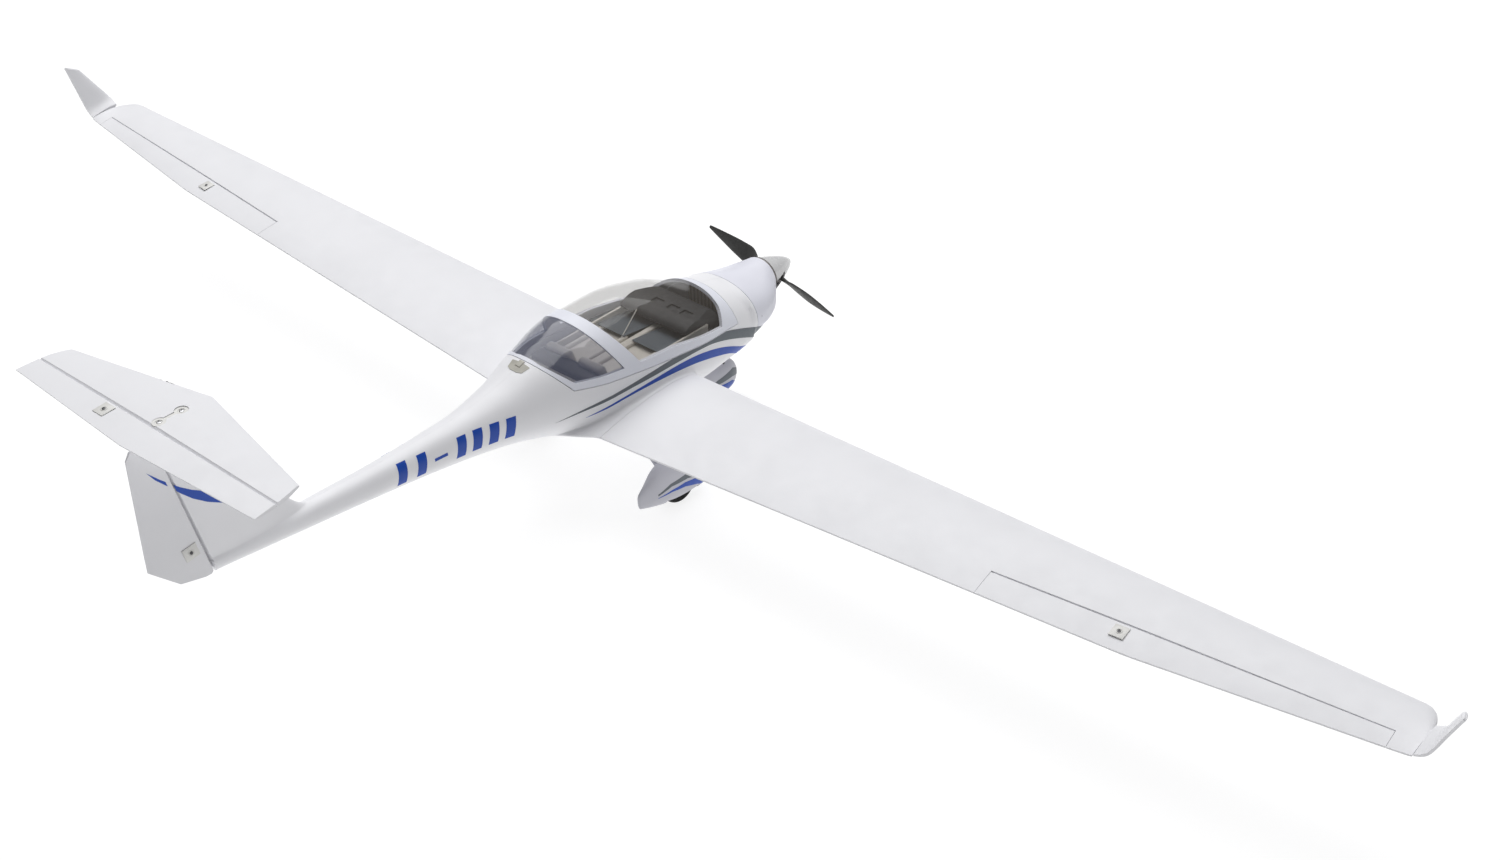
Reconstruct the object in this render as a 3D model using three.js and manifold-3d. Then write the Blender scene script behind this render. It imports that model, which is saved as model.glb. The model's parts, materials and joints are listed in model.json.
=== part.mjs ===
// A two-metre foam motor glider with a T-tail, a folding propeller and tricycle gear, standing on its wheels.
// Millimetres. Inside the airframe group x points to port, y points aft and z points up, measured from the
// wing datum: y 0 is the trailing edge at the wing tip, z 0 is the leading edge at the aircraft's centre.
import * as THREE from "three";
import { mergeVertices } from "three/addons/utils/BufferGeometryUtils.js";
import Module from "manifold-3d";

const wasm = await Module();
wasm.setup();

// ---------------------------------------------------------------- driving dimensions
const GAP = 0.3; // between pieces that touch
const CUT = 200; // larger than anything that is cut

const GROUND_Z = -115; // the surface under the wheels
const NOSE_Y = -324; // spinner tip
const TAIL_Y = 560.5; // rudder trailing edge

const WING = {
  rootX: 76, kinkX: 706, tipRoundX: 941, tipX: 962, dihedral: 0.035, washIn: 0.03, thickness: 0.115, drop: 1.5,
};
// The fairing that grows out of the fuselage into the wing: [x, front, back, thickness share]
const WING_STUB = [[30, -97, 93, 0.15], [46, -95, 82.5, 0.135], [62, -90.5, 72.5, 0.12], [70, -86, 68, 0.116]];
const WING_LE = { root: -84.4, slope: 0.02, tip: -40 }; // y = root + slope * x
const WING_TE = { root: 70.3, inner: -0.0531, outer: -0.1288 }; // slopes inside and outside the kink
const SPAR = { y: -38, z: 0.5, radius: 4, halfLength: 330 };
const AILERON = { innerX: 543.5, outerX: 939.8, innerY: 11.4, outerY: -16.4, hornX: 686 };
const WINGLET = {
  rootTE: [962.6, -1.5, 31], rootLE: [962.6, -39.5, 37], // against the wing tip
  bendTE: [974.6, -1, 40], bendLE: [974.6, -39, 45], // where it has turned up into a blade
  tipTE: [1000, 4.6, 96.5], tipLE: [994, -12.7, 89.5],
  thickness: [0.13, 0.15, 0.24, 0.14], blunt: 1.2, nearTip: 0.92,
};

// Fuselage sections: [y, half width, top, bottom]
const SECTIONS = [
  [-271.5, 24.8, 38.2, -11.4],
  [-250, 41, 37, -25],
  [-205, 56, 43, -32],
  [-150, 65, 60, -37],
  [-95, 70, 86, -43],
  [-30, 70, 99, -45],
  [30, 66, 97, -36],
  [80, 52, 83, -18],
  [140, 33.5, 64.2, -2],
  [200, 22.8, 55.8, 8],
  [290, 16.6, 54, 19.6],
  [400, 12.6, 57, 31.6],
  [505, 8, 59.4, 42],
];
const WALL = 5;
const COWL_SEAM_Y = -205;
const HATCH_SEAM = [[-170, 20], [74, 49], [98, 80]]; // lower edge of the lift-up canopy hatch: [y, z]
const GLASS_SEAM = [[-158, 56], [-154, 44], [-142, 29], [-100, 37], [-60, 45], [-11, 49], [70, 56], [91, 77]];
const HOOP = { frontBottomY: -11, rearBottomY: 10, bottomZ: 49, frontTopY: 18, rearTopY: 35, topZ: 97 };

const STAB = {
  z: 215, centreLE: 459, tipLE: 494, hingeY: 524.5, centreTE: 558, tipTE: 548.5, tipX: 183, hornX: 57,
  thickness: 0.075,
};
const STAB_TIP = { roundX: 16, roundY: 484, cornerX: 11, cornerY: 498, hingeX: 3.5 }; // x measured in from the tip
const STAB_PLATE = { screwY: [492.5, 516.5], rise: 2.6, thick: 1.4, end: 6.5, waist: 3 };
const STAB_SCREW = { radius: 1.6, bottomZ: 196, head: 3, headHeight: 1.2 };
const FIN = {
  baseZ: 40, topZ: 211.2, baseLE: 392, topLE: 461, baseTE: 562, topTE: 556, hingeBaseY: 495.2, hingeLean: 0.2,
  thickness: [0.085, 0.1], blunt: 0.6, topStep: 2.4, stepY: [518, 521],
};
const RUDDER_OUTLINE = [[480, 44.5], [497.5, 44.5], [500.5, 41.3], [507, 41.3], [532.5, 46.8], [560.5, 75],
  [558, 194], [551, 203.5], [500, 203.5]];
const RUDDER_HORN_Z = 78;
const SURFACE_SWING = 24; // half angle of the wedge cut on the front of each control surface, degrees

const LINK = { horn: 12, reach: 38, plate: 1.6, rod: 0.8, pin: 0.7, hole: 1.2 };
const SERVO = { along: 20, length: 22, thick: 8 };
const HORN_PLATE = { side: 15, thick: 1.1 };

const THRUST_Z = 13.8;
const SPINNER = { radius: 23.2, backY: -272.2, plateThick: 3, wall: 1.6, fullness: 0.62 };
const PROP = { tip: 98.8, pinRadius: 12, pinY: -290, lean: 15.2, boss: 4, pin: 1.4 };
const MOTOR = { radius: 14, baseY: -204.6, splitY: -222, endY: -247, shaft: 2.5 };

const MAIN_WHEEL = { x: 105, y: -15, radius: 23, width: 14, bore: 1.8 };
const NOSE_WHEEL = { x: 0, y: -185, radius: 20, width: 13, bore: 1.8 };
const AXLE = 1.5;
const WELL = { around: 2.5, beside: 1.6 }; // room round a wheel inside its spat
const STRUT = {
  y: -190, radius: 2, topZ: -18, fork: 9.6, forkInner: 7.9, forkY: [-192, -181], bridge: 1.3, plate: 2.4,
};

// Spat sections: [y, bottom, top, half width]
const SPAT_SQUARE = 0.85; // 1 would be elliptical sections, lower is boxier
const MAIN_SPAT = [[-62, -97, -90, 2.5], [-57, -105, -81, 7], [-44, -110, -69, 10.5], [-15, -108.5, -55.5, 13],
  [6, -105.5, -54, 12.4], [20, -102.5, -58.5, 10], [34, -98.5, -69, 5.6], [44, -95, -76, 2.6]];
const NOSE_SPAT = [[-222, -92, -84, 3], [-216, -102, -72, 8], [-203, -107, -64, 12.5], [-182, -108, -61, 14.5],
  [-160, -103, -64, 12.5], [-140, -95, -72, 7.5], [-126, -88, -79, 3.5]];
const LEG = [[34, -30, 30, 7], [60, -56, 22, 6], [90, -89, 15, 4.5]]; // [x, z, chord, thickness]

// ---------------------------------------------------------------- cabin and equipment
const TUB = { halfWidth: 52, front: -128, rear: 48, bottom: 8, top: 36, wall: 2.5 };
const SEAT = { x: 25, halfWidth: 19, front: -52, rear: 8, cushionTop: 19 };
const SEAT_BACK = [[6, 10], [20, 10], [34, 50], [24, 52]]; // [y, z]
const PANEL = { outline: [[-146, 24], [-131, 22], [-129, 38], [-112, 41], [-116, 46], [-146, 40]], halfWidth: 44 };
const FIREWALL = { frontY: -204.4, rearY: -201.4 };
const BATTERY = { halfWidth: 17, front: -165, rear: -60, bottom: -28.5, top: -3.5 };
const ESC = { halfWidth: 13, front: -198, rear: -170, bottom: -10, top: 0 };
const RECEIVER = { halfWidth: 13, front: -22, rear: 20, bottom: -30, top: -17 };

// ---------------------------------------------------------------- materials
const finish = (color, roughness, metalness = 0) => new THREE.MeshStandardMaterial({ color, roughness, metalness });
const FOAM = finish(0xf1f2f4, 0.55);
const GLASS = new THREE.MeshStandardMaterial({ color: 0x3b3a38, roughness: 0.08, transparent: true, opacity: 0.45 });
const INTERIOR = finish(0xb7b2a8, 0.7);
const DARK = finish(0x2a2a2c, 0.6);
const CARBON = finish(0x474745, 0.35);
const METAL = finish(0x9a9b9e, 0.3, 0.9);
const PLASTIC = finish(0xd8d4c8, 0.45);
const WOOD = finish(0xb58a55, 0.7);
const TYRE = finish(0x161616, 0.85);
const BLUE = finish(0x2c4f9a, 0.5);

// ---------------------------------------------------------------- solids
function solid(geometry) {
  const bare = geometry.clone();
  bare.deleteAttribute("normal");
  bare.deleteAttribute("uv");
  const merged = mergeVertices(bare, 1e-4);
  const vertProperties = merged.attributes.position.array;
  return new wasm.Manifold(
    new wasm.Mesh({ numProp: 3, vertProperties, triVerts: new Uint32Array(merged.index.array) }),
  );
}

function geometryOf(manifold) {
  const mesh = manifold.getMesh();
  const geometry = new THREE.BufferGeometry();
  geometry.setAttribute("position", new THREE.BufferAttribute(new Float32Array(mesh.vertProperties), 3));
  geometry.setIndex(new THREE.BufferAttribute(new Uint32Array(mesh.triVerts), 1));
  geometry.computeVertexNormals();
  return geometry;
}

// A closed skin through rings of [x, y, z] points, each ring closed by a fan.
function loft(rings) {
  const count = rings[0].length;
  const positions = rings.flat(2);
  const index = [];
  for (let r = 0; r + 1 < rings.length; r++) {
    for (let i = 0; i < count; i++) {
      const a = r * count + i;
      const b = r * count + ((i + 1) % count);
      index.push(a, b, b + count, a, b + count, a + count);
    }
  }
  for (const [ring, start, flip] of [[rings[0], 0, true], [rings.at(-1), (rings.length - 1) * count, false]]) {
    const centre = positions.length / 3;
    for (const axis of [0, 1, 2]) {
      positions.push(ring.reduce((sum, point) => sum + point[axis], 0) / count);
    }
    for (let i = 0; i < count; i++) {
      const edge = [start + i, start + ((i + 1) % count)];
      if (flip) edge.reverse();
      index.push(edge[0], edge[1], centre);
    }
  }
  let volume = 0;
  const corner = (i) => new THREE.Vector3().fromArray(positions, 3 * i);
  for (let i = 0; i < index.length; i += 3) {
    volume += corner(index[i]).dot(corner(index[i + 1]).cross(corner(index[i + 2])));
  }
  if (volume < 0) index.reverse();
  const geometry = new THREE.BufferGeometry();
  geometry.setAttribute("position", new THREE.Float32BufferAttribute(positions, 3));
  geometry.setIndex(index);
  return solid(geometry);
}

function box(x0, x1, y0, y1, z0, z1, matrix) {
  const geometry = new THREE.BoxGeometry(x1 - x0, y1 - y0, z1 - z0);
  geometry.translate((x0 + x1) / 2, (y0 + y1) / 2, (z0 + z1) / 2);
  if (matrix) geometry.applyMatrix4(matrix);
  return solid(geometry);
}

// A round bar between two [x, y, z] points.
function bar(from, to, radius, segments = 16, matrix) {
  const a = new THREE.Vector3(...from);
  const b = new THREE.Vector3(...to);
  const geometry = new THREE.CylinderGeometry(radius, radius, a.distanceTo(b), segments);
  const direction = b.clone().sub(a).normalize();
  const turn = new THREE.Quaternion().setFromUnitVectors(new THREE.Vector3(0, 1, 0), direction);
  geometry.applyQuaternion(turn);
  geometry.translate(...a.add(b).multiplyScalar(0.5).toArray());
  if (matrix) geometry.applyMatrix4(matrix);
  return solid(geometry);
}

// A flat outline of [u, v] points between two heights; the matrix says where u, v and height point.
function prism(outline, low, high, matrix) {
  const shape = new THREE.Shape(outline.map(([u, v]) => new THREE.Vector2(u, v)));
  const geometry = new THREE.ExtrudeGeometry(shape, { depth: high - low, bevelEnabled: false });
  geometry.translate(0, 0, low);
  geometry.applyMatrix4(matrix);
  return solid(geometry);
}

const axes = (u, v, w, origin = [0, 0, 0]) =>
  new THREE.Matrix4()
    .makeBasis(new THREE.Vector3(...u), new THREE.Vector3(...v), new THREE.Vector3(...w))
    .setPosition(...origin);
const SIDE_VIEW = axes([0, 1, 0], [0, 0, 1], [1, 0, 0]); // outline in y and z, height across
const PLAN_VIEW = axes([1, 0, 0], [0, 1, 0], [0, 0, 1]); // outline in x and y, height up

// ---------------------------------------------------------------- fuselage skin
// Smooth value between sections, with no overshoot at the stations.
function along(y, column) {
  const last = SECTIONS.length - 1;
  const i = Math.min(last - 1, Math.max(0, SECTIONS.findIndex((s) => s[0] > y) - 1));
  const k = y >= SECTIONS[last][0] ? last - 1 : i;
  const slope = (j) => (SECTIONS[j + 1][column] - SECTIONS[j][column]) / (SECTIONS[j + 1][0] - SECTIONS[j][0]);
  const tangent = (j) => {
    if (j === 0) return slope(0);
    if (j === last) return slope(last - 1);
    const [a, b] = [slope(j - 1), slope(j)];
    return a * b <= 0 ? 0 : (2 * a * b) / (a + b);
  };
  const span = SECTIONS[k + 1][0] - SECTIONS[k][0];
  const t = (y - SECTIONS[k][0]) / span;
  const [p, q] = [SECTIONS[k][column], SECTIONS[k + 1][column]];
  return (
    p * (1 + 2 * t) * (1 - t) ** 2 +
    span * tangent(k) * t * (1 - t) ** 2 +
    q * t * t * (3 - 2 * t) +
    span * tangent(k + 1) * t * t * (t - 1)
  );
}

// The widest line runs through the middle of the boom and lower down in the cabin.
function widestShare(y) {
  const cabin = Math.min(1, Math.max(0, (140 - y) / 140));
  return y < -200 ? 0.5 : 0.5 - 0.12 * cabin;
}

function skinRing(y, offset, points = 24) {
  const [width, top, bottom] = [along(y, 1) + offset, along(y, 2) + offset, along(y, 3) - offset];
  const middle = bottom + widestShare(y) * (top - bottom);
  return Array.from({ length: points }, (_, i) => {
    const angle = (2 * Math.PI * i) / points;
    const [c, s] = [Math.cos(angle), Math.sin(angle)];
    const round = (v) => Math.sign(v) * Math.abs(v) ** 0.93;
    return [width * round(c), y, middle + (s > 0 ? top - middle : middle - bottom) * round(s)];
  });
}

function skin(fromY, toY, offset, step = 28) {
  const count = Math.ceil((toY - fromY) / step);
  return loft(Array.from({ length: count + 1 }, (_, i) => skinRing(fromY + ((toY - fromY) * i) / count, offset)));
}

// ---------------------------------------------------------------- wings
const wingZ = (x) => WING.dihedral * x;
function wingLE(x) {
  const line = WING_LE.root + WING_LE.slope * x;
  if (x <= WING.tipRoundX) return line;
  const t = (x - WING.tipRoundX) / (WING.tipX - WING.tipRoundX);
  const drop = WING_LE.tip - (WING_LE.root + WING_LE.slope * WING.tipX);
  return line + drop * (1 - Math.sqrt(1 - 0.96 * t * t)) / 0.8;
}
function wingTE(x) {
  return WING_TE.root + WING_TE.inner * Math.min(x, WING.kinkX) + WING_TE.outer * Math.max(0, x - WING.kinkX);
}

// Half thickness of a four-digit aerofoil at chord share u, with a blunt trailing edge.
const halfThickness = (u, ratio) =>
  5 * ratio * (0.2969 * Math.sqrt(u) - 0.126 * u - 0.3516 * u ** 2 + 0.2843 * u ** 3 - 0.1015 * u ** 4);
const camber = (u) => 0.09 * u * (1 - u);

// Aerofoil points [chordwise, across] from the trailing edge over the top to the nose and back below.
function aerofoil(chord, ratio, cambered, blunt = 0.5, points = 9) {
  const share = (i) => 0.5 * (1 + Math.cos((Math.PI * i) / points));
  const at = (u, side) => [
    u * chord,
    chord * ((cambered ? camber(u) : 0) + side * halfThickness(u, ratio)) + side * blunt * u,
  ];
  const upper = Array.from({ length: points }, (_, i) => at(share(i), 1));
  const lower = Array.from({ length: points }, (_, i) => at(share(points - i), -1));
  return [...upper, ...lower, at(1, -1)];
}

function wingRing(x, y0 = wingLE(x), y1 = wingTE(x), ratio = WING.thickness) {
  const chord = y1 - y0;
  const z0 = wingZ(x) - WING.drop;
  return aerofoil(chord, ratio, true).map(([u, across]) => [x, y0 + u, z0 - WING.washIn * u + across]);
}

// ---------------------------------------------------------------- control surface hinges and linkages
// A hinge frame: u runs forwards from the hinge, v away from the skin that carries the horn, w along the hinge.
function hingeFrame(origin, along3, out3) {
  const w = new THREE.Vector3(...along3).normalize();
  const out = new THREE.Vector3(...out3);
  const v = out.sub(w.clone().multiplyScalar(out.dot(w))).normalize();
  const u = v.clone().cross(w);
  return new THREE.Matrix4().makeBasis(u, v, w).setPosition(...origin);
}

// The wedge that a control surface fills, behind its hinge, and the room cut for it.
function surfaceWedge(frame, low, high) {
  const back = -0.1 - 30 * Math.tan(THREE.MathUtils.degToRad(SURFACE_SWING));
  return prism([[-0.1, 0], [back, 30], [-CUT, 30], [-CUT, -30], [back, -30]], low, high, frame);
}
const surfaceRoom = (frame, low, high) => prism([[GAP, 40], [GAP, -40], [-CUT, -40], [-CUT, 40]], low, high, frame);

// Horn, servo, arm and rod as an exact parallelogram: the arm and the horn are equal and parallel.
// skinDepth is how far the skin lies from the hinge at the horn, pivot how far out the servo's shaft is.
function linkage(frame, skinDepth, pivot) {
  const { horn, reach, plate, rod, pin, hole } = LINK;
  const half = plate / 2;
  const hornOutline = [[-16, skinDepth + 0.2], [-16, skinDepth + 1.6], [-6, skinDepth + 2.4], [-2.4, horn + 2.2],
    [2.2, horn + 2.2], [1.4, skinDepth + 2.6], [-2, skinDepth + 1]];
  const pad = box(-17, -4, skinDepth + 0.2, skinDepth + 1.4, -4, 4, frame);
  const hornSolid = prism(hornOutline, -half, half, frame)
    .add(pad)
    .subtract(bar([0, horn, -3], [0, horn, 3], hole, 8, frame));
  const armOutline = [[reach - 2.8, pivot], [reach - 2, pivot + horn + 1.5], [reach + 2, pivot + horn + 1.5],
    [reach + 2.8, pivot]];
  const arm = prism(armOutline, -half, half, frame)
    .add(bar([reach, pivot, -half], [reach, pivot, half], 3.2, 12, frame))
    .subtract(bar([reach, pivot + horn, -3], [reach, pivot + horn, 3], hole, 8, frame));
  const side = half + GAP + rod;
  const rodSolid = bar([0, horn, side], [reach, pivot + horn, side], rod, 8, frame)
    .add(bar([0, horn, -half - 0.8], [0, horn, side], pin, 6, frame))
    .add(bar([reach, pivot + horn, -half - 0.8], [reach, pivot + horn, side], pin, 6, frame));
  const low = pivot - SERVO.thick / 2;
  const servo = box(reach - 6, reach - 6 + SERVO.length, low, low + SERVO.thick, -2.2 - SERVO.along, -2.2, frame)
    .add(bar([reach, pivot, -2.4], [reach, pivot, -half - GAP], 2.4, 12, frame));
  const pocket = box(reach - 7, reach + SERVO.length - 5, low - GAP, CUT, -2.6 - SERVO.along, 4, frame);
  return { horn: hornSolid, arm, rod: rodSolid, servo, pocket };
}

// A square backing plate let into the skin opposite the horn; depth is measured from the hinge, tilt in degrees.
function hornPlate(frame, depth, back, tilt) {
  const { side, thick } = HORN_PLATE;
  const place = frame
    .clone()
    .multiply(new THREE.Matrix4().makeTranslation(-back, -depth, 0))
    .multiply(new THREE.Matrix4().makeRotationZ(THREE.MathUtils.degToRad(tilt)));
  const plate = box(-side / 2, side / 2, -thick, 0, -side / 2, side / 2, place);
  const seat = box(-side / 2 - GAP, side / 2 + GAP, -20, GAP, -side / 2 - GAP, side / 2 + GAP, place);
  return { plate, seat };
}

// ---------------------------------------------------------------- wing panels
function makeWing() {
  const { rootX, kinkX, tipX, tipRoundX } = WING;
  const rounded = [0, 0.35, 0.62, 0.85, 1].map((t) => tipRoundX + t * (tipX - tipRoundX));
  const stations = [rootX + GAP, 300, AILERON.innerX, kinkX, 830, ...rounded];
  const panel = loft(stations.map((x) => wingRing(x)));
  const lean = (AILERON.outerY - AILERON.innerY) / (AILERON.outerX - AILERON.innerX);
  const hingeY = AILERON.innerY + lean * (AILERON.hornX - AILERON.innerX);
  const chord = wingTE(AILERON.hornX) - wingLE(AILERON.hornX);
  const share = (hingeY - wingLE(AILERON.hornX)) / chord;
  const middle = wingZ(AILERON.hornX) - WING.washIn * share * chord + camber(share) * chord - WING.drop;
  const frame = hingeFrame([AILERON.hornX, hingeY, middle], [1, lean, WING.dihedral], [0, 0, -1]);
  const [low, high] = [AILERON.innerX - AILERON.hornX, AILERON.outerX - AILERON.hornX];
  const depth = halfThickness(share, WING.thickness) * chord;
  const link = linkage(frame, depth - 0.2, 0);
  const { plate, seat } = hornPlate(frame, depth - 1.2, 12.5, -7);
  const aileron = panel.intersect(surfaceWedge(frame, low + 0.4, high - 0.4)).subtract(seat);
  const sparEnd = SPAR.halfLength + 1;
  const spar = bar([0, SPAR.y, SPAR.z], [sparEnd, SPAR.y, SPAR.z + wingZ(sparEnd)], SPAR.radius + GAP, 16);
  const body = panel.subtract(surfaceRoom(frame, low, high)).subtract(link.pocket).subtract(spar);
  const hornFree = link.horn.subtract(aileron.add(panel.subtract(surfaceRoom(frame, low, high))));
  return { body, aileron, link: { ...link, horn: hornFree }, plate, frame };
}

function makeWinglet() {
  const { rootTE, rootLE, bendTE, bendLE, tipTE, tipLE, thickness, blunt, nearTip } = WINGLET;
  const ring = (te, le, ratio, rise) => {
    const [a, b] = [new THREE.Vector3(...le), new THREE.Vector3(...te)];
    const chord = a.distanceTo(b);
    const chordwise = b.clone().sub(a).normalize();
    const spanwise = new THREE.Vector3(Math.cos(rise), 0, Math.sin(rise));
    const across = spanwise.clone().cross(chordwise).normalize();
    return aerofoil(chord, ratio, false, blunt, 8).map(([u, t]) =>
      a.clone().addScaledVector(chordwise, u).addScaledVector(across, t).toArray(),
    );
  };
  const between = (p, q, t) => p.map((value, i) => value + t * (q[i] - value));
  const nearTE = between(bendTE, tipTE, nearTip);
  const nearLE = between(bendLE, tipLE, nearTip);
  const lean = Math.atan2(tipTE[2] - bendTE[2], tipTE[0] - bendTE[0]);
  return loft([
    ring(rootTE, rootLE, thickness[0], 0),
    ring(bendTE, bendLE, thickness[1], lean * 0.75),
    ring(nearTE, nearLE, thickness[2], lean),
    ring(tipTE, tipLE, thickness[3], lean),
  ]);
}

const wing = makeWing();
const winglet = makeWinglet();
const sparEndZ = SPAR.z + wingZ(SPAR.halfLength);
const sparHalf = (side) => bar([0, SPAR.y, SPAR.z], [side * SPAR.halfLength, SPAR.y, sparEndZ], SPAR.radius, 16);
const spar = sparHalf(1).add(sparHalf(-1));

// ---------------------------------------------------------------- tail
function makeStabilizer() {
  const { z, centreLE, tipLE, hingeY, centreTE, tipTE, tipX, thickness } = STAB;
  const ring = (x) => {
    const le = centreLE + ((tipLE - centreLE) * Math.abs(x)) / (tipX - 13);
    const te = centreTE + ((tipTE - centreTE) * Math.abs(x)) / tipX;
    return aerofoil(te - le, thickness, false, 0.5).map(([u, t]) => [x, le + u, z + t]);
  };
  const blank = loft([-tipX, -tipX / 2, 0, tipX / 2, tipX].map(ring));
  const outline = [[0, 440], [tipX - STAB_TIP.roundX, STAB_TIP.roundY], [tipX - STAB_TIP.cornerX, STAB_TIP.cornerY],
    [tipX - STAB_TIP.hingeX, hingeY], [tipX, centreTE + 5]];
  const both = [...outline, ...outline.slice(1).reverse().map(([x, y]) => [-x, y])];
  const whole = blank.intersect(prism(both, z - 20, z + 20, PLAN_VIEW));
  const frame = hingeFrame([STAB.hornX, hingeY, z], [1, 0, 0], [0, 0, -1]);
  const depth = 2.5;
  const link = linkage(frame, depth, 3);
  const { plate, seat } = hornPlate(frame, 1.8, 11, -5);
  const elevator = whole.intersect(surfaceWedge(frame, -CUT * 2, CUT * 2)).subtract(seat);
  const fixed = whole.subtract(surfaceRoom(frame, -CUT * 2, CUT * 2)).subtract(link.pocket);
  // Dog-bone plate let into the top, held by two screws that go down into the fin.
  const top = z + STAB_PLATE.rise;
  const bone = (grow, high) => {
    const low = top - STAB_PLATE.thick - grow;
    const waist = STAB_PLATE.waist + grow;
    return STAB_PLATE.screwY
      .map((y) => bar([0, y, low], [0, y, high], STAB_PLATE.end + grow, 16))
      .reduce((a, b) => a.add(b))
      .add(box(-waist, waist, ...STAB_PLATE.screwY, low, high));
  };
  const { radius: shank, bottomZ, head, headHeight } = STAB_SCREW;
  const screwHoles = STAB_PLATE.screwY
    .map((y) => bar([0, y, bottomZ - 6], [0, y, z + 25], shank + GAP, 8))
    .reduce((a, b) => a.add(b));
  const boneSeat = bone(GAP, z + 20);
  const screws = STAB_PLATE.screwY.map((y) =>
    bar([0, y, bottomZ], [0, y, top + 0.1], shank, 8).add(bar([0, y, top + 0.1], [0, y, top + headHeight], head, 12)),
  );
  return {
    body: fixed.subtract(boneSeat).subtract(screwHoles),
    elevator,
    link: { ...link, horn: link.horn.subtract(whole), servo: link.servo },
    plate,
    bone: bone(0, top).subtract(screwHoles),
    screws,
    screwHoles,
  };
}

const finHingeY = (z) => FIN.hingeBaseY + FIN.hingeLean * (z - FIN.baseZ);
function makeFin() {
  const { baseZ, topZ, baseLE, topLE, baseTE, topTE } = FIN;
  const ring = (z) => {
    const t = (z - baseZ) / (topZ - baseZ);
    const le = baseLE + t * (topLE - baseLE);
    const te = baseTE + t * (topTE - baseTE);
    const ratio = FIN.thickness[0] + t * (FIN.thickness[1] - FIN.thickness[0]);
    return aerofoil(te - le, ratio, false, FIN.blunt).map(([u, across]) => [across, le + u, z]);
  };
  const whole = loft([ring(baseZ), ring((baseZ + topZ) / 2), ring(topZ)]);
  const frame = hingeFrame([0, finHingeY(RUDDER_HORN_Z), RUDDER_HORN_Z], [0, FIN.hingeLean, 1], [1, 0, 0]);
  const link = linkage(frame, 5, 5);
  const { plate, seat } = hornPlate(frame, 4.2, 14, -3.5);
  const outline = prism(RUDDER_OUTLINE, -40, 40, SIDE_VIEW);
  const rudder = whole.intersect(surfaceWedge(frame, -CUT, CUT)).intersect(outline).subtract(seat);
  return { whole, rudder, link: { ...link, horn: link.horn.subtract(whole) }, plate, frame };
}

const tail = makeStabilizer();
const fin = makeFin();

// ---------------------------------------------------------------- landing gear
const squared = (v) => Math.sign(v) * Math.abs(v) ** SPAT_SQUARE;
const spatRing = (x, [y, low, high, half], points = 16) =>
  Array.from({ length: points }, (_, i) => {
    const angle = (2 * Math.PI * i) / points;
    return [x + half * squared(Math.cos(angle)), y, (low + high) / 2 + ((high - low) / 2) * squared(Math.sin(angle))];
  });

// Round room for a wheel, open below.
function wheelWell({ x, y, radius, width }) {
  const axleZ = GROUND_Z + radius;
  const [half, round] = [width / 2 + WELL.beside, radius + WELL.around];
  return bar([x - half, y, axleZ], [x + half, y, axleZ], round, 36)
    .add(box(x - half, x + half, y - round, y + round, -CUT, axleZ));
}

function makeMainGear() {
  const { x, y, radius, width } = MAIN_WHEEL;
  const axleZ = GROUND_Z + radius;
  const well = wheelWell(MAIN_WHEEL);
  const axleHole = bar([x - 20, y, axleZ], [x, y, axleZ], AXLE + GAP, 12);
  const spatSolid = loft(MAIN_SPAT.map((section) => spatRing(x, section))).subtract(axleHole);
  const legRing = ([cx, cz, chord, thick]) =>
    Array.from({ length: 16 }, (_, i) => {
      const angle = (2 * Math.PI * i) / 16;
      const [fore, across] = [(chord / 2) * Math.cos(angle), (thick / 2) * Math.sin(angle)];
      return [cx + across * 0.7, y + fore, cz + across * 0.7];
    });
  const spat = spatSolid.subtract(well);
  const leg = loft(LEG.map(legRing))
    .subtract(skin(-90, 60, GAP))
    .add(bar([x - 16.5, y, axleZ], [x + width / 2 + 1.2, y, axleZ], AXLE, 12))
    .add(bar([x - 19, y, axleZ + 1], [x - 13.6, y, axleZ], 4.2, 16))
    .subtract(spat);
  return { spat, leg, wheel: wheelSolid(MAIN_WHEEL) };
}

// Tyre and hub in one round profile, turned about the axle, with one flat of the tread on the ground.
function wheelSolid({ x, y, radius, width, bore }) {
  const h = width / 2;
  const rim = radius * 0.52;
  const flats = 18;
  const outer = radius / Math.cos(Math.PI / flats);
  const tread = [[outer - h * 0.34, -h * 0.82], [outer, -h * 0.3], [outer, h * 0.3], [outer - h * 0.34, h * 0.82]];
  const profile = [[bore, -h * 0.8], [rim * 0.4, -h * 0.8], [rim * 0.55, -h * 0.45], [rim, -h * 0.9], ...tread,
    [rim, h * 0.9], [rim * 0.55, h * 0.45], [rim * 0.4, h * 0.8], [bore, h * 0.8], [bore, -h * 0.8]];
  const geometry = new THREE.LatheGeometry(profile.map(([r, s]) => new THREE.Vector2(r, s)), flats);
  geometry.rotateZ(-Math.PI / 2);
  geometry.rotateX(Math.PI / flats);
  geometry.translate(x, y, GROUND_Z + radius);
  return solid(geometry);
}

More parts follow.
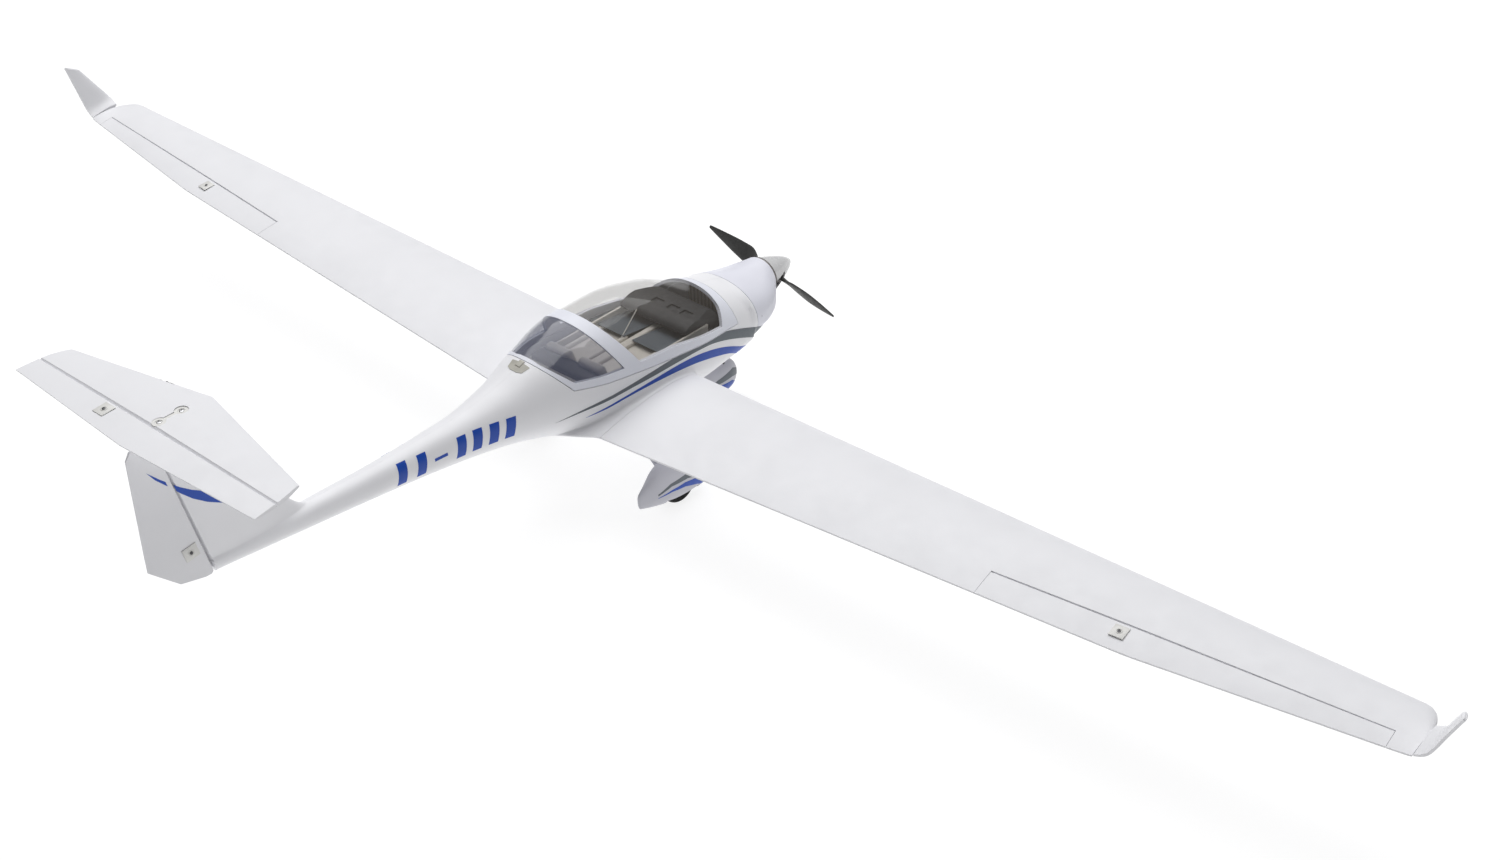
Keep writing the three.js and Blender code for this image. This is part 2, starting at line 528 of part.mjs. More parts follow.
function makeNoseGear() {
  const { y, radius } = NOSE_WHEEL;
  const { fork, forkInner, forkY, plate } = STRUT;
  const axleZ = GROUND_Z + radius;
  const bridge = axleZ + radius + STRUT.bridge;
  const top = bridge + plate;
  const forkRoom = box(-fork - 0.6, fork + 0.6, forkY[0] - 1.5, forkY[1] + 1.5, -CUT, top + 0.8);
  const spat = loft(NOSE_SPAT.map((section) => spatRing(0, section)))
    .subtract(wheelWell(NOSE_WHEEL))
    .subtract(forkRoom)
    .subtract(bar([0, STRUT.y, -80], [0, STRUT.y, -50], STRUT.radius + GAP, 14));
  const strut = bar([0, STRUT.y, bridge + 1], [0, STRUT.y, STRUT.topZ], STRUT.radius, 14)
    .add(box(-fork, fork, ...forkY, bridge, top))
    .add(box(forkInner, fork, ...forkY, axleZ - 3, top))
    .add(box(-fork, -forkInner, ...forkY, axleZ - 3, top))
    .add(bar([-fork, y, axleZ], [fork, y, axleZ], AXLE, 12))
    .add(box(-13, 13, STRUT.y - 3, STRUT.y + 3, STRUT.topZ - 2, STRUT.topZ));
  return { spat, strut, wheel: wheelSolid(NOSE_WHEEL) };
}

const mainGear = makeMainGear();
const noseGear = makeNoseGear();

// ---------------------------------------------------------------- fuselage halves, cowl and canopy
const hatchRoom = (grow) => {
  const [front, corner, rear] = HATCH_SEAM;
  const outline = [[front[0] - grow, front[1] - grow], [corner[0] + grow * 0.8, corner[1] - grow],
    [rear[0] + grow, rear[1]], [rear[0] + 30 + grow, 140], [front[0] - grow, 140]];
  return prism(outline, -CUT, CUT, SIDE_VIEW);
};

function makeFuselage() {
  const outer = skin(COWL_SEAM_Y + GAP, 505, 0);
  const inner = skin(COWL_SEAM_Y - 2, 430, -WALL, 42);
  const stub = loft([...WING_STUB, [WING.rootX]].map((section) => wingRing(...section)));
  const mirrorX = new THREE.Matrix4().makeScale(-1, 1, 1);
  const stubs = stub.add(mirrored(stub, mirrorX));
  // The fin's top steps down behind the elevator hinge, so that the elevator can swing down past it.
  const step = FIN.topZ - FIN.topStep;
  const outline = [[380, 40], [505, 40], [620, step], [FIN.stepY[1], step], [FIN.stepY[0], FIN.topZ],
    [380, FIN.topZ]];
  const finPart = fin.whole.intersect(prism(outline, -60, 60, SIDE_VIEW));
  const sparTunnel = (side) =>
    bar([0, SPAR.y, SPAR.z], [side * 100, SPAR.y, SPAR.z + wingZ(100)], SPAR.radius + GAP, 16);
  const whole = outer
    .add(stubs)
    .subtract(inner)
    .add(finPart.subtract(skin(380, 430, -WALL)))
    .subtract(hatchRoom(0))
    .subtract(surfaceRoom(fin.frame, -CUT, CUT))
    .subtract(sparTunnel(1))
    .subtract(sparTunnel(-1))
    .subtract(bar([0, STRUT.y, -60], [0, STRUT.y, -20], STRUT.radius + 0.5, 14))
    .subtract(tail.screwHoles)
    .subtract(fin.link.pocket);
  return {
    left: whole.subtract(box(-CUT, GAP / 2, -400, 700, -CUT, 300)),
    right: whole.subtract(box(-GAP / 2, CUT, -400, 700, -CUT, 300)),
  };
}

function mirrored(manifold, matrix) {
  const geometry = geometryOf(manifold);
  geometry.applyMatrix4(matrix);
  const index = geometry.index.array;
  for (let i = 0; i < index.length; i += 3) {
    [index[i + 1], index[i + 2]] = [index[i + 2], index[i + 1]];
  }
  return solid(geometry);
}

function makeCowl() {
  const outer = skin(-271.5, COWL_SEAM_Y - GAP, 0, 14);
  const inner = skin(-268.5, COWL_SEAM_Y + 5, -3.5, 14);
  const shaftHole = bar([0, -280, THRUST_Z], [0, -260, THRUST_Z], 9, 20);
  return outer.subtract(inner).subtract(shaftHole);
}

function makeCanopy() {
  const shell = skin(-175, 135, 0).subtract(skin(-176, 136, -4));
  const thin = skin(-175, 135, -0.1).subtract(skin(-176, 136, -1.5));
  const glassRoom = (grow) => {
    const points = GLASS_SEAM.map(([y, z]) => [y, z]);
    const outline = [[points[0][0] - 2 + grow, 140], ...points.map(([y, z], i) => {
      if (i < 3) return [y + grow, z + (i === 2 ? grow : 0)];
      return [y - (i > 6 ? grow : 0), z + grow];
    }), [104 - grow, 140]];
    return prism(outline, -CUT, CUT, SIDE_VIEW);
  };
  const { frontBottomY, rearBottomY, bottomZ, frontTopY, rearTopY, topZ } = HOOP;
  const rise = (140 - bottomZ) / (topZ - bottomZ);
  const frontEdge = [[frontBottomY, bottomZ - 8], [frontBottomY + (frontTopY - frontBottomY) * rise, 140]];
  const rearEdge = [[rearBottomY, bottomZ - 8], [rearBottomY + (rearTopY - rearBottomY) * rise, 140]];
  const hoopRoom = prism([frontEdge[0], rearEdge[0], rearEdge[1], frontEdge[1]], -CUT, CUT, SIDE_VIEW);
  const beyond = ([low, high], grow, far) =>
    prism([[low[0] + grow, 20], [low[0] + grow, low[1]], [high[0] + grow, high[1]], [far, 140], [far, 20]],
      -CUT, CUT, SIDE_VIEW);
  const hatch = hatchRoom(-GAP);
  const frame = shell.intersect(hatch).subtract(glassRoom(0).subtract(hoopRoom));
  const glass = thin.intersect(hatch).intersect(glassRoom(GAP));
  return {
    frame,
    frontGlass: glass.subtract(beyond(frontEdge, -GAP, 300)),
    rearGlass: glass.subtract(beyond(rearEdge, GAP, -300)),
  };
}

function makeCockpit() {
  const room = skin(-150, 70, -6);
  const { halfWidth, front, rear, bottom, top, wall } = TUB;
  const floor = bottom + wall;
  const tubOuter = box(-halfWidth, halfWidth, front, rear, bottom, top);
  const tubInner = box(wall - halfWidth, halfWidth - wall, front + wall, rear - wall, floor, 60);
  const seat = (side) => {
    const [low, high] = [side * SEAT.x - SEAT.halfWidth, side * SEAT.x + SEAT.halfWidth];
    return box(low, high, SEAT.front, SEAT.rear, floor - 0.5, SEAT.cushionTop)
      .add(prism(SEAT_BACK, low, high, SIDE_VIEW));
  };
  const middle = box(-4, 4, -126, 10, floor - 0.5, 23);
  const tub = tubOuter.subtract(tubInner).add(seat(1)).add(seat(-1)).add(middle).intersect(room);
  const panel = prism(PANEL.outline, -PANEL.halfWidth, PANEL.halfWidth, SIDE_VIEW)
    .intersect(room)
    .subtract(box(-halfWidth - 1, halfWidth + 1, front - 0.5, rear + 1, 0, top + 0.4));
  return { tub, panel };
}

// ---------------------------------------------------------------- propeller, built level, leaned with its group
function makePropeller() {
  const { radius, backY, plateThick, wall, fullness } = SPINNER;
  const { tip, pinRadius, pinY, boss, pin } = PROP;
  const base = backY - plateThick - GAP;
  const length = base - NOSE_Y;
  const ogive = (r, y0, y1) =>
    Array.from({ length: 9 }, (_, i) => {
      const t = 1 - (1 - i / 8) ** 1.5;
      return [r * (1 - t) ** fullness, y0 + (y1 - y0) * t];
    });
  const turned = (points) => {
    const geometry = new THREE.LatheGeometry(points.map(([r, y]) => new THREE.Vector2(Math.max(0, r), -y)), 24);
    geometry.rotateX(Math.PI);
    return solid(geometry);
  };
  const outerShape = ogive(radius, base, base - length);
  const innerShape = ogive(radius - wall, base + 1, base - length + 4);
  outerShape.at(-1)[0] = 0;
  innerShape.at(-1)[0] = 0;
  const slots = box(9, 40, pinY - 7, base + 5, -6.5, 6.5).add(box(-40, -9, pinY - 7, base + 5, -6.5, 6.5));
  const spinner = turned([[0, base], ...outerShape]).subtract(turned([[0, base + 1], ...innerShape])).subtract(slots);
  // Two pairs of ears hold the blade pins.
  const ears = [[7, 16], [-16, -7]].flatMap(([low, high]) =>
    [4.4, -4.4].map((z) => box(low, high, pinY - 4, backY - plateThick, z - 1.1, z + 1.1)),
  );
  const hub = bar([0, backY, 0], [0, backY - plateThick, 0], radius, 32)
    .subtract(slots)
    .add(box(-7.4, 7.4, pinY - 4, backY - 1, -5.5, 5.5))
    .add(ears.reduce((a, b) => a.add(b)))
    .add(bar([pinRadius, pinY, -5], [pinRadius, pinY, 5], pin, 12))
    .add(bar([-pinRadius, pinY, -5], [-pinRadius, pinY, 5], pin, 12))
    .subtract(bar([0, backY + 5, 0], [0, pinY - 10, 0], MOTOR.shaft + GAP, 16));
  // [distance from the shaft, chord, thickness, twist in degrees]
  const blade = [[17, 5.4, 5, 0], [22, 7, 4.4, 30], [28, 14, 3.8, 40], [36, 20.6, 3.4, 33], [48, 19.6, 3, 26],
    [60, 17.4, 2.5, 19.5], [74, 13.2, 2, 15.5], [88, 8.4, 1.6, 14], [tip, 4, 1.2, 14]];
  const bladeRing = ([r, chord, thick, twist]) =>
    Array.from({ length: 14 }, (_, i) => {
      const angle = (2 * Math.PI * i) / 14;
      const turn = -THREE.MathUtils.degToRad(twist);
      const [c, t] = [(chord / 2) * Math.cos(angle), (thick / 2) * Math.sin(angle)];
      return [r, pinY + c * Math.sin(turn) + t * Math.cos(turn), c * Math.cos(turn) - t * Math.sin(turn)];
    });
  const rightBlade = loft([bladeRing([pinRadius, 5.4, 5, 0]), ...blade.map(bladeRing)])
    .add(bar([pinRadius, pinY, -2.9], [pinRadius, pinY, 2.9], boss, 20))
    .subtract(bar([pinRadius, pinY, -6], [pinRadius, pinY, 6], pin + GAP, 14));
  const bell = bar([0, MOTOR.splitY - GAP, 0], [0, MOTOR.endY, 0], MOTOR.radius, 28)
    .add(bar([0, MOTOR.endY + 1, 0], [0, pinY - 8, 0], MOTOR.shaft, 16));
  return { spinner, hub, blade: rightBlade, bell };
}

const fuselage = makeFuselage();
const canopy = makeCanopy();
const cockpit = makeCockpit();
const propeller = makePropeller();
const firewall = skin(FIREWALL.frontY, FIREWALL.rearY + GAP, -WALL - 1.5, 3)
  .intersect(box(-60, 60, FIREWALL.frontY, FIREWALL.rearY, -40, 60));
const block = ({ halfWidth, front, rear, bottom, top }) => box(-halfWidth, halfWidth, front, rear, bottom, top);

// ---------------------------------------------------------------- the object
const object = new THREE.Group();
const airframe = new THREE.Group();
airframe.position.set(0, -(NOSE_Y + TAIL_Y) / 2, -GROUND_Z);
object.add(airframe);

function place(name, manifold, material, parent = airframe) {
  const mesh = new THREE.Mesh(geometryOf(manifold), material);
  mesh.name = name;
  parent.add(mesh);
  return mesh;
}

// The same piece on both sides: modelled on the port side and mirrored to starboard.
const MIRROR = new THREE.Matrix4().makeScale(-1, 1, 1);
function placePair(name, manifold, material) {
  place(`${name}_left`, manifold, material);
  place(`${name}_right`, mirrored(manifold, MIRROR), material);
}

place("fuselage_left", fuselage.left, FOAM);
place("fuselage_right", fuselage.right, FOAM);
place("nose_cowl", makeCowl(), FOAM);
place("firewall", firewall, WOOD);
place("motor_base", bar([0, MOTOR.baseY, THRUST_Z], [0, MOTOR.splitY, THRUST_Z], MOTOR.radius, 28), METAL);
place("battery", block(BATTERY), BLUE);
place("esc", block(ESC), DARK);
place("receiver", block(RECEIVER), DARK);

place("canopy_frame", canopy.frame, FOAM);
place("canopy_glass", canopy.frontGlass, GLASS);
place("rear_window", canopy.rearGlass, GLASS);
place("cockpit_tub", cockpit.tub, INTERIOR);
place("instrument_panel", cockpit.panel, DARK);

const rotor = new THREE.Group();
rotor.position.z = THRUST_Z;
rotor.rotation.y = -THREE.MathUtils.degToRad(PROP.lean);
airframe.add(rotor);
place("motor_bell", propeller.bell, METAL, rotor);
place("prop_hub", propeller.hub, DARK, rotor);
place("spinner", propeller.spinner, FOAM, rotor);
place("blade_left", propeller.blade, CARBON, rotor);
const halfTurn = new THREE.Group();
halfTurn.rotation.y = Math.PI;
rotor.add(halfTurn);
place("blade_right", propeller.blade, CARBON, halfTurn);

place("wing_spar", spar, CARBON);
placePair("wing", wing.body, FOAM);
placePair("aileron", wing.aileron, FOAM);
placePair("winglet", winglet, FOAM);
placePair("aileron_servo", wing.link.servo, DARK);
placePair("aileron_arm", wing.link.arm, PLASTIC);
placePair("aileron_rod", wing.link.rod, METAL);
placePair("aileron_horn", wing.link.horn, PLASTIC);
placePair("aileron_plate", wing.plate, PLASTIC);

place("stabilizer", tail.body, FOAM);
place("elevator", tail.elevator, FOAM);
place("stab_plate", tail.bone, PLASTIC);
place("stab_screw_front", tail.screws[0], METAL);
place("stab_screw_rear", tail.screws[1], METAL);
place("elevator_servo", tail.link.servo, DARK);
place("elevator_arm", tail.link.arm, PLASTIC);
place("elevator_rod", tail.link.rod, METAL);
place("elevator_horn", tail.link.horn, PLASTIC);
place("elevator_plate", tail.plate, PLASTIC);
place("rudder", fin.rudder, FOAM);
place("rudder_servo", fin.link.servo, DARK);
place("rudder_arm", fin.link.arm, PLASTIC);
place("rudder_rod", fin.link.rod, METAL);
place("rudder_horn", fin.link.horn, PLASTIC);
place("rudder_plate", fin.plate, PLASTIC);

placePair("main_leg", mainGear.leg, FOAM);
placePair("main_spat", mainGear.spat, FOAM);
placePair("main_wheel", mainGear.wheel, TYRE);
place("nose_strut", noseGear.strut, METAL);
place("nose_spat", noseGear.spat, FOAM);
place("nose_wheel", noseGear.wheel, TYRE);

export default object;
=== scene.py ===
"""Looks for a two-metre foam motor glider that stands on its wheels.

Shapes are worked out in the airframe's own millimetres: x to port, y aft, z up, from the wing datum.
settle() moves each finished mesh by ROW into the row frame in metres, where the CAD model stands.
"""

import json
import math

import bmesh
import bpy
from mathutils import Matrix, Vector
from mathutils.kdtree import KDTree


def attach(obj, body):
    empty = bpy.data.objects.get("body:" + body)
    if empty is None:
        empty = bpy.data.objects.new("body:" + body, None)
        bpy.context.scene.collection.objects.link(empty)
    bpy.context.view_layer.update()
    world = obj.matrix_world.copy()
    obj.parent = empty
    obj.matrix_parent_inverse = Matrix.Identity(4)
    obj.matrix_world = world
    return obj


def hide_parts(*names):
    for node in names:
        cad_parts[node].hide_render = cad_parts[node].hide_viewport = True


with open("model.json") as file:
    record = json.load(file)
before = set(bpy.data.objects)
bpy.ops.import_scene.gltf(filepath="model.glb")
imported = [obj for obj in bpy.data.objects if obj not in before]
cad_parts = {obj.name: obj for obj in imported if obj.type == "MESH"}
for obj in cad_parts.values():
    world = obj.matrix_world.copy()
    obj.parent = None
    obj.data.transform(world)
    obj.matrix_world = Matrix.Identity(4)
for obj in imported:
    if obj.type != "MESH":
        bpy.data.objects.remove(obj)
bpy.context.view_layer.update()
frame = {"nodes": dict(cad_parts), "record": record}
nodes = frame["nodes"]
scene = bpy.context.scene

# ---------------------------------------------------------------- camera
EYE = Vector((-1.4347, 1.16185, 1.3413))
RIGHT = Vector((-0.7418, -0.6699, -0.0303)).normalized()
VIEW = Vector((0.5679, -0.6035, -0.5598)).normalized()


def make_camera():
    data = bpy.data.cameras.new("camera")
    data.lens = 50.0
    data.sensor_width = 36.0
    data.clip_end = 50.0
    camera = bpy.data.objects.new("camera", data)
    up = RIGHT.cross(VIEW).normalized()
    turn = Matrix((RIGHT, up, -VIEW)).transposed().to_4x4()
    camera.matrix_world = Matrix.Translation(EYE) @ turn
    scene.collection.objects.link(camera)
    scene.camera = camera


make_camera()

# ---------------------------------------------------------------- dimensions, in airframe millimetres
ROW = Matrix.Scale(0.001, 4) @ Matrix.Translation((0, -118.25, 115))
GROUND = -115.0
CUT = 200.0  # reach of a cutting block, past everything beside the cabin
SILL, ABOVE = 41.0, 140.0  # heights under the hoop and over the canopy
COWL_SEAM = -205.0
SEAM = 0.35  # half the width of a seam that shows

SECTIONS = [  # y, half width, top, bottom
    (-271.5, 24.8, 38.2, -11.4), (-250, 41, 37, -25), (-205, 56, 43, -32), (-150, 65, 60, -37),
    (-95, 70, 86, -43), (-30, 70, 99, -45), (30, 66, 97, -36), (80, 52, 83, -18), (140, 33.5, 64.2, -2),
    (200, 22.8, 55.8, 8), (290, 16.6, 54, 19.6), (400, 12.6, 57, 31.6), (505, 8, 59.4, 42),
]
HATCH = ((-170, 20), (74, 49), (98, 80))
GLASS = ((-158, 56), (-154, 44), (-142, 29), (-100, 37), (-60, 45), (-11, 49), (70, 56), (91, 77))
HOOP_FRONT = ((-11, 49), (18, 97))
HOOP_REAR = ((10, 49), (35, 97))
SEAT_LEAN = 0.33

WING_ROOT, WING_KINK, WING_TIP, WING_ROUND = 76.0, 706.0, 962.0, 941.0
DIHEDRAL, WASH_IN, WING_THICK = 0.035, 0.03, 0.115
AILERON = {"inner": (543.5, 11.4), "outer": (939.8, -16.4), "horn_x": 686.0}
SWING = math.tan(math.radians(24))

STAB_Z, STAB_HINGE, STAB_TIP = 215.0, 524.5, 183.0
FIN = {"base_z": 40.0, "top_z": 211.2, "base_le": 392.0, "top_le": 461.0, "base_te": 562.0, "top_te": 556.0}
RUDDER_OUTLINE = ((480, 44.5), (497.5, 44.5), (500.5, 41.3), (507, 41.3), (532.5, 46.8), (560.5, 75),
                  (558, 194), (551, 203.5), (500, 203.5))
THRUST_Z = 13.8
PIN_R, PIN_Y, PROP_LEAN = 12.0, -290.0, 15.2


# ---------------------------------------------------------------- mesh building
def basis(u, v, w, origin=(0, 0, 0)):
    """A matrix whose columns say where u, v and w point."""
    return Matrix([(u[i], v[i], w[i], origin[i]) for i in range(3)] + [(0, 0, 0, 1)])


SIDE = basis((0, 1, 0), (0, 0, 1), (1, 0, 0))  # outline in y and z, height across
PLAN = basis((1, 0, 0), (0, 1, 0), (0, 0, 1))  # outline in x and y, height up
MIRROR = Matrix.Diagonal((-1, 1, 1, 1))


def make(name, points, faces, mark=0):
    """A closed mesh object, with its faces marked by a material index."""
    mesh = bpy.data.meshes.new(name)
    mesh.from_pydata([tuple(p) for p in points], [], faces)
    for _ in range(4):
        mesh.materials.append(None)
    mesh.polygons.foreach_set("material_index", [mark] * len(mesh.polygons))
    tool = bmesh.new()
    tool.from_mesh(mesh)
    bmesh.ops.recalc_face_normals(tool, faces=tool.faces)
    tool.to_mesh(mesh)
    tool.free()
    obj = bpy.data.objects.new(name, mesh)
    scene.collection.objects.link(obj)
    return obj


def loft(rings, mark=0, ring_shaped=False):
    """A skin through rings of points: closed by flat ends, or round on itself."""
    count = len(rings[0])
    points = [p for ring in rings for p in ring]
    spans = len(rings) if ring_shaped else len(rings) - 1
    faces = []
    for k in range(spans):
        a, b = k * count, ((k + 1) % len(rings)) * count
        faces += [(a + i, a + (i + 1) % count, b + (i + 1) % count, b + i) for i in range(count)]
    if not ring_shaped:
        faces.append(tuple(reversed(range(count))))
        faces.append(tuple(range(len(points) - count, len(points))))
    return make("loft", points, faces, mark)


def prism(outline, low, high, place=SIDE, mark=0):
    rings = [[place @ Vector((u, v, h)) for u, v in outline] for h in (low, high)]
    return loft(rings, mark)


def circle(centre, u, v, ru, rv, count):
    c, u, v = Vector(centre), Vector(u), Vector(v)
    return [c + u * (ru * math.cos(math.tau * i / count)) + v * (rv * math.sin(math.tau * i / count))
            for i in range(count)]


def bar(a, b, radius, count=32, mark=0):
    a, b = Vector(a), Vector(b)
    w = (b - a).normalized()
    u = w.orthogonal().normalized()
    v = w.cross(u)
    return loft([circle(a, u, v, radius, radius, count), circle(b, u, v, radius, radius, count)], mark)


def lathe(profile, place, count=64, ring_shaped=False, mark=0):
    """A profile of (radius, height) turned about the z axis of place."""
    rings = [[place @ Vector((r * math.cos(math.tau * i / count), r * math.sin(math.tau * i / count), s))
              for i in range(count)] for r, s in profile]
    return loft(rings, mark, ring_shaped)


def box(x0, x1, y0, y1, z0, z1, place=PLAN, mark=0, soft=0.0, steps=3):
    """A block, with its edges rounded when soft is a radius."""
    obj = prism([(x0, y0), (x1, y0), (x1, y1), (x0, y1)], z0, z1, place, mark)
    if soft:
        tool = bmesh.new()
        tool.from_mesh(obj.data)
        bmesh.ops.bevel(tool, geom=list(tool.edges), offset=soft, segments=steps, affect="EDGES", profile=0.5)
        for face in tool.faces:
            face.material_index = mark
        tool.to_mesh(obj.data)
        tool.free()
    return obj


def copy(obj):
    twin = obj.copy()
    twin.data = obj.data.copy()
    scene.collection.objects.link(twin)
    return twin


def discard(obj):
    mesh = obj.data
    bpy.data.objects.remove(obj)
    bpy.data.meshes.remove(mesh)


def combine(a, b, operation, keep=False):
    cut = a.modifiers.new("cut", "BOOLEAN")
    cut.operation, cut.object, cut.solver = operation, b, "MANIFOLD"
    bpy.context.view_layer.update()
    mesh = bpy.data.meshes.new_from_object(a.evaluated_get(bpy.context.evaluated_depsgraph_get()))
    a.modifiers.clear()
    old, a.data = a.data, mesh
    bpy.data.meshes.remove(old)
    if not len(mesh.polygons):
        raise RuntimeError(f"nothing is left after {operation} with {b.name}")
    if not keep:
        discard(b)
    return a


def join(*solids):
    whole = solids[0]
    for solid in solids[1:]:
        combine(whole, solid, "UNION")
    return whole


def minus(a, *solids, keep=False):
    for solid in solids:
        combine(a, solid, "DIFFERENCE", keep)
    return a


def common(a, b, keep=False):
    return combine(a, b, "INTERSECT", keep)


def mirrored(obj):
    twin = copy(obj)
    twin.data.transform(MIRROR)
    twin.data.flip_normals()
    return twin


def smoothstep(t):
    t = min(1.0, max(0.0, t))
    return t * t * (3 - 2 * t)


def soften_joints(obj, radius, rounds, allowed):
    """Rounds the inner corners where differently marked skins meet, as moulded foam does."""
    tool = bmesh.new()
    tool.from_mesh(obj.data)
    bmesh.ops.triangulate(tool, faces=[f for f in tool.faces if len(f.verts) > 4])
    seams = [e for e in tool.edges if len(e.link_faces) == 2
             and e.link_faces[0].material_index != e.link_faces[1].material_index]
    tree = KDTree(2 * len(seams))
    for i, edge in enumerate(seams):
        tree.insert(edge.verts[0].co, 2 * i)
        tree.insert((edge.verts[0].co + edge.verts[1].co) / 2, 2 * i + 1)
    tree.balance()
    moving = []
    for vert in tool.verts:
        far = tree.find(vert.co)[2]
        pull = smoothstep(1 - far / radius) * allowed(vert.co)
        if pull > 0.01:
            moving.append((vert, 0.6 * pull, [e.other_vert(vert) for e in vert.link_edges]))
    for _ in range(rounds):
        goals = [v.co.lerp(sum((n.co for n in near), Vector()) / len(near), pull) for v, pull, near in moving]
        for (vert, _, _), goal in zip(moving, goals):
            vert.co = goal
    tool.to_mesh(obj.data)
    tool.free()
    return obj


def film(source, cutter, lift=0.16, sink=0.12):
    """A thin closed film on the part of source's own skin that lies inside cutter."""
    piece = copy(source)
    piece.data.polygons.foreach_set("material_index", [0] * len(piece.data.polygons))
    cutter.data.polygons.foreach_set("material_index", [1] * len(cutter.data.polygons))
    common(piece, cutter)
    tool = bmesh.new()
    tool.from_mesh(piece.data)
    bmesh.ops.delete(tool, geom=[f for f in tool.faces if f.material_index != 0], context="FACES")
    bmesh.ops.delete(tool, geom=[v for v in tool.verts if not v.link_faces], context="VERTS")
    tool.normal_update()
    for vert in tool.verts:
        vert.normal_update()
    tool.verts.index_update()
    count = len(tool.verts)
    outer = [v.co + v.normal * lift for v in tool.verts]
    inner = [v.co - v.normal * sink for v in tool.verts]
    faces = [tuple(v.index for v in f.verts) for f in tool.faces]
    flipped = [tuple(count + i for i in reversed(f)) for f in faces]
    walls = []
    for edge in tool.edges:
        if len(edge.link_faces) == 1:
            loop = edge.link_loops[0]
            a, b = loop.vert.index, loop.link_loop_next.vert.index
            walls.append((b, a, count + a, count + b))
    tool.free()
    discard(piece)
    return make("film", outer + inner, faces + flipped + walls)


# ---------------------------------------------------------------- body shapes shared by several pieces
def along(y, column):
    """Smooth value between the sections, with no overshoot at the stations."""
    last = len(SECTIONS) - 1
    i = max([j for j in range(last) if SECTIONS[j][0] <= y] or [0])

    def slope(j):
        return (SECTIONS[j + 1][column] - SECTIONS[j][column]) / (SECTIONS[j + 1][0] - SECTIONS[j][0])

    def tangent(j):
        if j in (0, last):
            return slope(0 if j == 0 else last - 1)
        a, b = slope(j - 1), slope(j)
        return 0 if a * b <= 0 else 2 * a * b / (a + b)

    span = SECTIONS[i + 1][0] - SECTIONS[i][0]
    t = (y - SECTIONS[i][0]) / span
    p, q = SECTIONS[i][column], SECTIONS[i + 1][column]
    return (p * (1 + 2 * t) * (1 - t) ** 2 + span * tangent(i) * t * (1 - t) ** 2
            + q * t * t * (3 - 2 * t) + span * tangent(i + 1) * t * t * (t - 1))


def skin_ring(y, offset, count=96):
    width, top, bottom = along(y, 1) + offset, along(y, 2) + offset, along(y, 3) - offset
    share = 0.5 if y < -200 else 0.5 - 0.12 * min(1, max(0, (140 - y) / 140))
    middle = bottom + share * (top - bottom)
    # Soft cheeks on the cowl: a crease runs back from beside the spinner, with a swell above and below it.
    cowl = math.sin(math.pi * min(1, max(0, (y + 271.5) / 66.5)))

    def point(i):
        angle = math.tau * i / count
        c, s = math.cos(angle), math.sin(angle)
        swell = 1 + 0.045 * cowl * (math.cos(4 * (abs(math.atan2(s, abs(c))) - 0.25)) if s > -0.3 else 0)
        x = width * math.copysign(abs(c) ** 0.93, c) * swell
        z = (top - middle if s > 0 else middle - bottom) * math.copysign(abs(s) ** 0.93, s) * swell
        return Vector((x, y, middle + z))

    return [point(i) for i in range(count)]


def skin(y0, y1, offset=0.0, step=4.5, mark=0, count=96):
    spans = max(1, math.ceil((y1 - y0) / step))
    return loft([skin_ring(y0 + (y1 - y0) * k / spans, offset, count) for k in range(spans + 1)], mark)


def half_thickness(u, ratio):
    return 5 * ratio * (0.2969 * math.sqrt(u) - 0.126 * u - 0.3516 * u ** 2
                        + 0.2843 * u ** 3 - 0.1015 * u ** 4)


def aerofoil(chord, ratio, cambered, blunt=0.5, count=26):
    """Points (chordwise, across) from the trailing edge over the top to the nose and back below."""
    def at(u, side):
        bend = 0.09 * u * (1 - u) if cambered else 0
        return u * chord, chord * (bend + side * half_thickness(u, ratio)) + side * blunt * u

    shares = [0.5 * (1 + math.cos(math.pi * i / count)) for i in range(count + 1)]
    upper = [at(u, 1) for u in shares[:-1]]
    lower = [at(u, -1) for u in reversed(shares)]
    return upper + lower


def wing_le(x):
    line = -84.4 + 0.02 * x
    if x <= WING_ROUND:
        return line
    t = (x - WING_ROUND) / (WING_TIP - WING_ROUND)
    drop = -40 - (-84.4 + 0.02 * WING_TIP)
    return line + drop * (1 - math.sqrt(1 - 0.96 * t * t)) / 0.8


def wing_te(x):
    return 70.3 - 0.0531 * min(x, WING_KINK) - 0.1288 * max(0, x - WING_KINK)


def wing_ring(x, front=None, back=None, ratio=WING_THICK, count=26):
    front = wing_le(x) if front is None else front
    back = wing_te(x) if back is None else back
    return [Vector((x, front + u, DIHEDRAL * x - WASH_IN * u + t - 1.5))
            for u, t in aerofoil(back - front, ratio, True, 0.8, count)]


def spline(p0, p1, p2, p3, t):
    """The point at share t of the way from p1 to p2 on a smooth curve through all four."""
    return [0.5 * (2 * b + (c - a) * t + (2 * a - 5 * b + 4 * c - d) * t * t
                   + (3 * b - a - 3 * c + d) * t ** 3) for a, b, c, d in zip(p0, p1, p2, p3)]


def curve_rows(rows, steps):
    """Rows of numbers, with smooth rows between them."""
    out = []
    last = len(rows) - 1
    for k in range(last):
        near = [rows[max(0, min(last, k + d))] for d in (-1, 0, 1, 2)]
        out += [spline(*near, s / steps) for s in range(steps)]
    return out + [list(rows[-1])]


def smooth_outline(points, steps=5):
    """A closed outline rounded through its points."""
    out = []
    for k in range(len(points)):
        near = [points[(k + d) % len(points)] for d in (-1, 0, 1, 2)]
        out += [tuple(spline(*near, s / steps)) for s in range(steps)]
    return out


